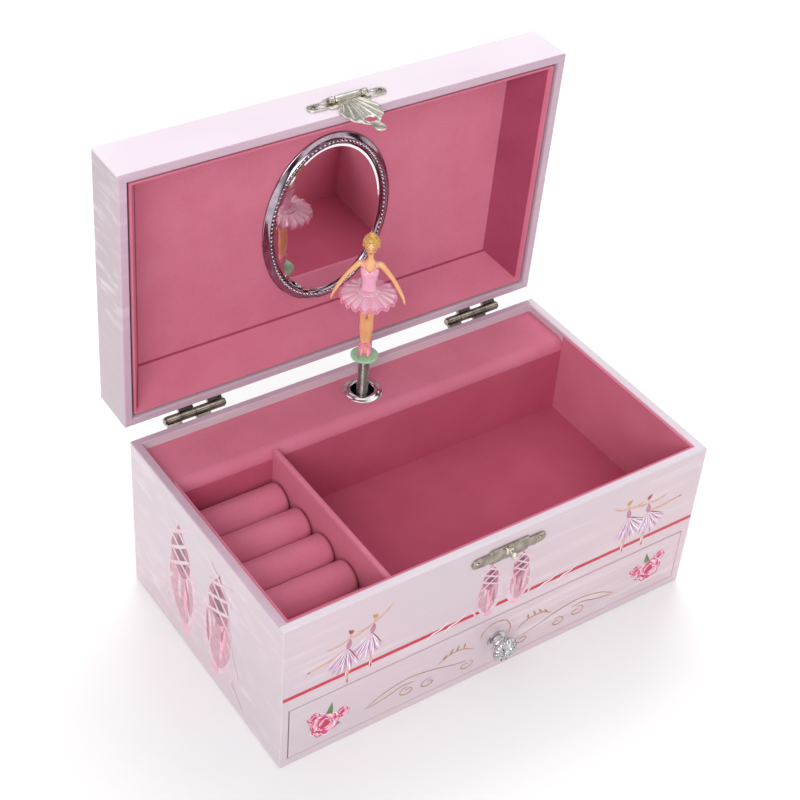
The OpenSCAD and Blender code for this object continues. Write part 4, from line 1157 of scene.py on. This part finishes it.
tutuBase = tutuHigh.z - standHigh.z
waves, drop = skirtLook["frills"], skirtLook["frillDrop"]
tutuParts = [frill(3.0, tutuR - 0.25, tutuBase - 0.6, 2.6, waves, drop, 0.4), frill(2.9, tutuR
    * 0.42, tutuBase + 0.25, 0.7, 12, 0.3, 1.9)]
lipPath, lipSteps = [], 456
for k in range(lipSteps + 1):
    angle = math.tau * k / lipSteps
    flow = math.sin(angle * waves + 0.4 + 0.7 * math.sin(angle * 3 + 0.4))
    fold = math.sin(angle * waves * 2 + 0.92)
    r = 3.0 + (tutuR - 0.25 - 3.0) * (1 - 0.02 * (1 + flow)) - 0.15
    h = tutuBase - 0.6 - 2.6 + drop * (0.72 * flow + 0.28 * fold) - 0.35
    lipPath.append((r * math.cos(angle), r * math.sin(angle), h))
tutuParts.append(tube(lipPath, skirtLook["lip"], 8, 1))
tutuParts = [moved(part, atFigure) for part in tutuParts]
skirtFinishes = [tutuPlastic, tutuLip]
piece("dancer_skirt", tutuParts, skirtFinishes, "dancer", ("dancer_tutu",), sharp=0)

shoeParts = []
sole = [(1.6, -2.1, 0.75), (1.6, -1.4, 1.15), (1.5, -0.4, 1.7), (1.4, 0.4, 2.6), (1.35, 0.5, 4.4)]
sole.append((1.4, 0.4, 6.3))
bowKnots = [(0, -1.2, 5.6), (0.9, -1.5, 6.3), (1.2, -1.4, 5.6), (0, -1.2, 5.4), (-1.2, -1.4, 5.9)]
bowKnots += [(-0.9, -1.5, 6.5), (0, -1.2, 5.6)]
ankleX, ankleR = 1.4, 1.42
for side in (-1, 1):
    shoeParts.append(limb(mirrored(side, sole), [0.75, 1.15, 1.42, 1.5, 1.36, 1.25], 5, 18))
    shoeParts.append(ball((side * 1.6, -2.0, 0.85), (1.0, 1.1, 0.85), 18))
    for number in range(shoeLook["wraps"]):
        wrap = []
        for k in range(33):
            a = math.tau * k / 32
            height = 3.4 + number * 1.35 + 0.35 * math.sin(a + number)
            wrap.append((side * ankleX + ankleR * math.cos(a), 0.42 + ankleR * math.sin(a), height))
        shoeParts.append(tube(wrap, shoeLook["ribbon"], 8))
    bowLoop = [(side * ankleX + x, y, z) for x, y, z in bowKnots]
    shoeParts.append(tube(smoothPath(bowLoop, 6), shoeLook["bow"], 8))
shoeParts = [moved(part, atFigure) for part in shoeParts]
piece("dancer_shoes", shoeParts, [shoePlastic], "dancer", (), sharp=0)


def standRipple(i, angle, radius, height):
    if i >= 6:
        height += 0.1 * math.sin(angle * turfLook["tufts"] + i) * (radius / standR)
    return radius, height


standProfile = [(0.0, 0.0), (standR - 1.3, 0.0), (standR - 0.5, 0.12), (standR - 0.06, 0.5), (standR
    - 0.06, 1.05)]
standProfile += [(standR - 0.45, 1.42), (standR - 1.2, 1.55), (standR - 2.4, 1.58), (2.0, 1.62),
    (0.0, 1.65)]
underStand = standHigh.z - turfLook["tall"]
standParts = [moved(turned(standProfile, 96, 0, standRipple), Matrix.Translation((0, dancerY,
    underStand)))]
standParts.append(tube([(0, dancerY, standLow.z), (0, dancerY, underStand + 0.3)], 1.7, 24))
piece("dancer_turf", standParts, [greenPlastic], "dancer", ("dancer_stand",),
    sharp=45)
print("dancer moulded")

# prints: flat inks a hair's breadth off the paper, each mark a little above the last
inkNames = [("stripe", tone(200, 6, 62), tone(186, 0, 40)), ("white", tone(246, 240, 246), tone(236,
    226, 238)), ("lilac", tone(214, 180, 208), tone(200, 160, 194)), ("mauve", tone(190, 128, 156),
    tone(172, 106, 138)), ("plum", tone(128, 58, 92), tone(110, 44, 78)), ("skin", tone(222, 172,
    146), tone(206, 150, 128)), ("auburn", tone(150, 60, 44), tone(120, 44, 34)), ("blond",
    tone(206, 160, 70), tone(182, 130, 50)), ("roseLight", tone(238, 176, 200), tone(226, 146,
    178)), ("rose", tone(216, 66, 118), tone(196, 46, 100)), ("roseDeep", tone(188, 26, 78),
    tone(166, 16, 62)), ("leaf", tone(86, 128, 60), tone(62, 100, 46)), ("gold", tone(186, 142, 82),
    tone(154, 110, 54)), ("satin", tone(204, 158, 172), tone(190, 136, 154)), ("satinLight",
    tone(222, 196, 206), tone(212, 178, 192)), ("shade", tone(178, 112, 130), tone(162, 90, 112))]
inks = {name: k for k, (name, a, b) in enumerate(inkNames)}
inkFinishes = [inkFinish(name + "Ink", a, b) for name, a, b in inkNames]
dice = random.Random(11)


def petal(base, angle, length, width, bend=0.0, steps=8):
    # one brush mark: pointed at its base, fullest past the middle
    left, right = [], []
    x, y = base
    for k in range(steps + 1):
        t = k / steps
        turn = angle + bend * t
        half = width / 2 * math.sin(math.pi * min(1.0, t**0.8 + 0.02)) + 0.03
        left.append((x - half * math.sin(turn), y + half * math.cos(turn)))
        right.append((x + half * math.sin(turn), y - half * math.cos(turn)))
        x += length / steps * math.cos(turn)
        y += length / steps * math.sin(turn)
    return left + right[::-1]


def oval(centre, halfX, halfY, tilt=0.0, steps=16):
    made = []
    for k in range(steps):
        a = math.tau * k / steps
        x, y = halfX * math.cos(a), halfY * math.sin(a)
        made.append((centre[0] + x * math.cos(tilt) - y * math.sin(tilt), centre[1] + x
            * math.sin(tilt) + y * math.cos(tilt)))
    return made


def penLine(knots, width, taper=0.35, steps=8):
    # a pen stroke as a row of short quads, thinner towards both ends
    path = smoothPath([(x, y, 0) for x, y in knots], steps)
    edges = []
    for k, point in enumerate(path):
        ahead = (path[min(k + 1, len(path) - 1)] - path[max(k - 1, 0)]).normalized()
        t = k / (len(path) - 1)
        half = width / 2 * (taper + (1 - taper) * math.sin(math.pi * t) ** 0.5)
        left = (point.x - ahead.y * half, point.y + ahead.x * half)
        right = (point.x + ahead.y * half, point.y - ahead.x * half)
        edges.append((left, right))
    return [[a[0], b[0], b[1], a[1]] for a, b in zip(edges, edges[1:])]


def drawn(ink, knots, width, taper=0.35, steps=8):
    return [(ink, stroke) for stroke in penLine(knots, width, taper, steps)]


def printed(name, marks, body, place):
    # every mark is (ink, outline); place puts a flat point on its board
    verts, faces, which = [], [], []
    for number, (ink, outline) in enumerate(marks):
        area = sum(a[0] * b[1] - b[0] * a[1] for a, b in zip(outline, outline[1:] + outline[:1]))
        if area < 0:
            outline = outline[::-1]
        start = len(verts)
        verts += [place(x, y, 0.03 + 0.07 * number / len(marks)) for x, y in outline]
        faces.append(list(range(start, start + len(outline))))
        which.append(inks[ink])
    mesh = meshFrom(name, verts, faces)
    mesh.polygons.foreach_set("material_index", which)
    return fit(name, mesh, inkFinishes, body, (), sharp=0)


skirtLayers = [(1.0, 1.25, ("lilac", "white", "lilac", "mauve")), (0.86, 0.45, ("white", "mauve",
    "white", "plum", "lilac"))]


def skirtMarks(waist, low, high, length, count):
    marks = []
    for layer, (short, width, names) in enumerate(skirtLayers):
        for k in range(count):
            t = (k + 0.5 * layer) / (count - 1)
            angle = math.radians(low + (high - low) * t)
            reach = length * short * (0.88 + 0.16 * math.sin(math.pi * t)) * dice.uniform(0.93, 1.05)
            gather = petal(waist, angle, reach, width, 0.12 * dice.uniform(-1, 1))
            marks.append((names[k % len(names)], gather))
    return marks


def paintedDancer(waist, size, way, hair, arms, trailing):
    # size is the waist's height over the foot; way is 1 or -1 for the side she faces
    x, z = waist
    foot = (x + way * 0.5, z - size)
    tip = (x - way * trailing[0], z + trailing[1])
    marks = drawn("skin", [waist, (x + way * 0.3, z - size * 0.55), foot], 1.3, 0.3)
    marks += drawn("skin", [waist, ((x + tip[0]) / 2, (z + tip[1]) / 2 - 0.8), tip], 1.2, 0.3)
    marks.append(("rose", petal((foot[0], foot[1] + 1.6), -math.pi / 2, 2.4, 0.9)))
    marks.append(("rose", petal(tip, math.atan2(tip[1] - z, tip[0] - x), 2.2, 0.8)))
    low, high = (-150, -62) if way > 0 else (-118, -30)
    marks += skirtMarks(waist, low, high, size * 0.7, 24)
    marks.append(("mauve", petal((x, z - 0.8), math.pi / 2 - way * 0.14, 6.2, 2.6)))
    neck = (x + way * 0.8, z + 5.4)
    for dx, dz in arms:
        bend = (neck[0] + way * dx * 0.5, neck[1] + dz * 0.5 - 0.9)
        hand = (neck[0] + way * dx, neck[1] + dz)
        marks += drawn("skin", [neck, bend, hand], 0.8)
    head = (neck[0] + way * 0.7, neck[1] + 3.0)
    marks += drawn("skin", [neck, head], 0.9, 0.8)
    marks.append(("skin", oval(head, 1.0, 1.25)))
    marks.append((hair, oval((head[0] - way * 0.35, head[1] + 0.45), 1.1, 1.05)))
    marks.append((hair, oval((head[0] - way * 1.2, head[1] + 1.3), 0.6, 0.6)))
    return marks


def gradedBar(low, high, xs):
    return [[(a, low), (b, low), (b, high), (a, high)] for a, b in zip(xs, xs[1:])]


def slipperMarks(middle, top, bottom, lean, spread):
    # a pair of slippers on their points, tied with long ribbons
    marks = []
    tall = top - bottom
    for way in (-1, 1):
        toe = Vector((middle + way * spread, bottom))
        angle = math.pi / 2 - way * lean
        up = Vector((math.cos(angle), math.sin(angle)))
        across = Vector((-up.y, up.x))

        def at(along, out):
            spot = toe + up * tall * along + across * tall * out * way
            return (spot.x, spot.y)

        marks.append(("satinLight", petal(at(-0.02, 0), angle, tall * 0.94, tall * 0.4, way * 0.12,
            18)))
        marks.append(("satin", petal(at(0.05, -0.02), angle, tall * 0.84, tall * 0.31, way * 0.12,
            18)))
        for k in range(9):
            fold = dice.uniform(-0.1, 0.1)
            ink = ("satinLight", "roseLight", "shade")[k % 3]
            marks.append((ink, petal(at(0.08 + 0.05 * k, fold), angle + fold, tall * 0.3, tall
                * 0.035, way * 0.2)))
        marks.append(("shade", petal(at(0.46, 0.01), angle, tall * 0.46, tall * 0.25, way * 0.06,
            16)))
        marks.append(("plum", petal(at(0.52, 0.015), angle, tall * 0.34, tall * 0.13, way * 0.06,
            14)))
        marks.append(("roseLight", oval(at(0.03, 0), tall * 0.05, tall * 0.045)))
        for k in range(3):
            for side in (-1, 1):
                low = 0.5 + 0.13 * k
                knots = [at(low, 0.14 * side), at(low + 0.07, 0.02 * side), at(low + 0.17, -0.13
                    * side)]
                marks += drawn("satinLight", knots, tall * 0.026, 0.5)
        tail = [at(0.42, -0.12), at(0.24, -0.26), at(0.1, -0.2), at(-0.02, -0.36)]
        marks += drawn("satinLight", tail, tall * 0.03, 0.4)
    return marks


roseRows = [(1.0, 9, ("roseLight", "rose")), (0.78, 8, ("rose", "roseLight", "roseDeep")), (0.55, 7,
    ("roseLight", "rose")), (0.36, 5, ("roseDeep", "rose"))]


def roseMarks(centre, size):
    # a round bloom built up from outside to inside
    marks = []
    for row, (share, count, names) in enumerate(roseRows):
        for k in range(count):
            angle = math.tau * (k + 0.37 * row) / count + dice.uniform(-0.1, 0.1)
            out = size * share
            at = (centre[0] + out * 0.52 * math.cos(angle), centre[1] + out * 0.46 * math.sin(angle))
            marks.append((names[k % len(names)], oval(at, out * 0.46, out * 0.27, angle + math.pi
                / 2)))
            turns = (angle - 1.1, angle, angle + 1.1)
            rim = [(at[0] + out * 0.34 * math.cos(a), at[1] + out * 0.32 * math.sin(a))
                for a in turns]
            marks += drawn("white" if k % 2 else "roseDeep", rim, size * 0.05, 0.3, 5)
    marks.append(("roseDeep", oval(centre, size * 0.14, size * 0.12)))
    return marks


def sprigMarks(centre, size, way):
    x, z = centre
    marks = []
    for angle, length in ((1.2, 1.5), (0.5, 1.2), (2.2, 1.25), (-0.5, 1.05)):
        turn = angle if way > 0 else math.pi - angle
        marks.append(("leaf", petal((x, z), turn, size * length, size * 0.42, 0.25 * way)))
    marks += roseMarks((x + way * size * 0.98, z + size * 0.34), size * 0.52)
    marks += roseMarks((x - way * size * 0.62, z + size * 0.78), size * 0.5)
    marks += roseMarks((x, z), size)
    return marks


stripeLook = {"low": 41.0, "high": 43.0, "feet": (-79.2, -67.4, 67.6, 79.4)}
slipperLook = {"front": (0.5, 72, 38, 0.05, 7.4), "side": (-3, 76, 9, 0.1, 13)}
drawerPrintLook = {"line": 0.5, "leftSprig": (-88.5, 15.4), "rightSprig": (88.5, 17.6)}


def onFront(x, z, lift):
    return (x, frontFace - lift, z)


stripeXs = [-109.3 + 218.6 * k / 60 for k in range(61)]
frontMarks = [("stripe", q) for q in gradedBar(stripeLook["low"], stripeLook["high"], stripeXs)]
for x in (-34, -25, 25, 36):
    wave = [(x - 5, 39.2), (x - 2, 41.4), (x + 2, 42.4), (x + 6, 44.6)]
    frontMarks += drawn("white", wave, 0.8, 0.3)
for foot in stripeLook["feet"]:
    frontMarks.append(("white", petal((foot, 40.2), math.pi / 2, 3.8, 1.1)))
frontMarks += slipperMarks(*slipperLook["front"])
frontMarks += paintedDancer((-67.6, 60.2), 20.4, 1, "blond", ((9.5, 7.2), (-8, -1.5)), (9, -7.5))
frontMarks += paintedDancer((-79.0, 57.0), 20.6, 1, "auburn", ((9, 2.2), (-11, -1.8)), (17.5, -4.4))
frontMarks += paintedDancer((68.6, 60.2), 20.4, -1, "blond", ((9, 3.6), (-8.5, 0.5)), (8, -8))
frontMarks += paintedDancer((80.4, 58.4), 20.2, -1, "auburn", ((9, 2.0), (-10.5, 0.8)), (17.5, 1.0))
printed("front_print", frontMarks, "case", onFront)


def onLeft(y, z, lift):
    return (leftLow.x - lift, -y, z)


sideMarks = slipperMarks(*slipperLook["side"])
printed("side_print", sideMarks, "case", onLeft)


def onDrawer(x, z, lift):
    return (x, drawerLow.y - lift, z)


drawerMarks = sprigMarks(drawerPrintLook["leftSprig"], 8.6, 1)
drawerMarks += sprigMarks(drawerPrintLook["rightSprig"], 8.4, -1)


def curl(x, z, size, way, start, turns=1.15):
    # a tendril that winds inward
    made, count = [], 14
    for k in range(count + 1):
        reach = size * (1 - 0.7 * k / count)
        angle = start - math.tau * turns * k / count
        made.append((x + way * reach * math.cos(angle), z + 0.62 * reach * math.sin(angle)))
    return made


def flipped(way, spots):
    return [(way * x, z) for x, z in spots]


scrolls = [[(-9, 23.6), (-7, 28.0), (-1.5, 30.2), (4.8, 28.4), (7.6, 23.4), (7.0, 19.4)]]
for way in (-1, 1):
    sweep = [(68, 13), (59, 17.6), (47, 20), (34, 18.2), (23, 15), (15, 13.4)]
    scrolls.append(flipped(way, sweep))
    scrolls.append(flipped(way, [(67, 12.6), (58, 14.2), (50, 16.6), (43, 16.2)]))
    scrolls.append(curl(way * 15.5, 10.6, 4.2, -way, 1.2))
    scrolls.append(curl(way * 46.5, 12.2, 4.6, way, 1.6))
    scrolls.append(curl(way * 35.5, 11.0, 4.4, way, 2.0))
    scrolls.append(flipped(way, [(31, 19.6), (25, 22.6), (18, 22.4), (12, 19.2)]))
    for x, z, turn in ((28.6, 21.0, 2.3), (25.0, 22.6, 2.15), (21.4, 22.9, 1.95), (17.6, 22.3, 1.75)):
        lean = turn if way > 0 else math.pi - turn
        drawerMarks.append(("gold", petal((way * x, z + 0.3), lean, 3.4, 0.95)))
for knots in scrolls:
    drawerMarks += drawn("gold", knots, drawerPrintLook["line"], 0.25, 10)
printed("drawer_print", drawerMarks, "drawer", onDrawer)
print("prints laid")

# studio
studioLook = {"floor": 3000, "key": 16, "backdrop": 26, "sky": 0.68}
floorHalf = studioLook["floor"]
floorSlab = boxPart((-floorHalf, -floorHalf, -20), (floorHalf, floorHalf, 0))
piece("floor", [floorSlab], [floorPaint], None, sharp=30)


def softLight(name, where, aim, size, power):
    lamp = bpy.data.lights.new(name, "AREA")
    lamp.size = size
    lamp.energy = power
    obj = addObject(name, lamp)
    obj.location = where
    obj.rotation_euler = (Vector(aim) - Vector(where)).to_track_quat("-Z", "Y").to_euler()
    return obj


softLight("key", (-1.1, -1.1, 1.0), (0, 0, 0.1), 1.0, studioLook["key"])
backdrop = softLight("backdrop", (0.9, 1.3, 1.5), (0.7, 1.0, 0.0), 1.6, studioLook["backdrop"])
backdrop.visible_glossy = False

# even white light, but polished metal sees a studio with dark gaps between its lamps
world = bpy.data.worlds.new("studio")
world.use_nodes = True
skyTree = world.node_tree
sky = skyTree.nodes["Background"]
skyAt = skyTree.nodes.new("ShaderNodeTexCoord")
skyParts = skyTree.nodes.new("ShaderNodeSeparateXYZ")
skyTree.links.new(skyAt.outputs["Generated"], skyParts.inputs["Vector"])
bands = [(0.0, grey(0.7)), (0.06, grey(0.04)), (0.2, grey(0.04)), (0.27, grey(1.2)), (0.42,
    grey(1.2))]
bands += [(0.5, grey(0.06)), (0.66, grey(0.08)), (0.74, grey(1.3)), (1.0, grey(1.3))]
seen = addRamp(skyTree, skyParts.outputs["Z"], bands)
rays = skyTree.nodes.new("ShaderNodeLightPath")
light = addMix(skyTree, rays.outputs["Is Glossy Ray"], grey(studioLook["sky"]), seen)
skyTree.links.new(light, sky.inputs["Color"])
bpy.context.scene.world = world
bpy.context.scene.view_settings.view_transform = "Standard"

lens = bpy.data.cameras.new("camera")
lens.lens = 76.285
lens.sensor_width = 36
lens.clip_start = 0.01
camera = addObject("camera", lens)
camera.location = (-0.349708, -0.445994, 0.568602)
camera.rotation_euler = [math.radians(a) for a in (50.7457, -3.7438, -33.8635)]
bpy.context.scene.camera = camera
print("studio lit")
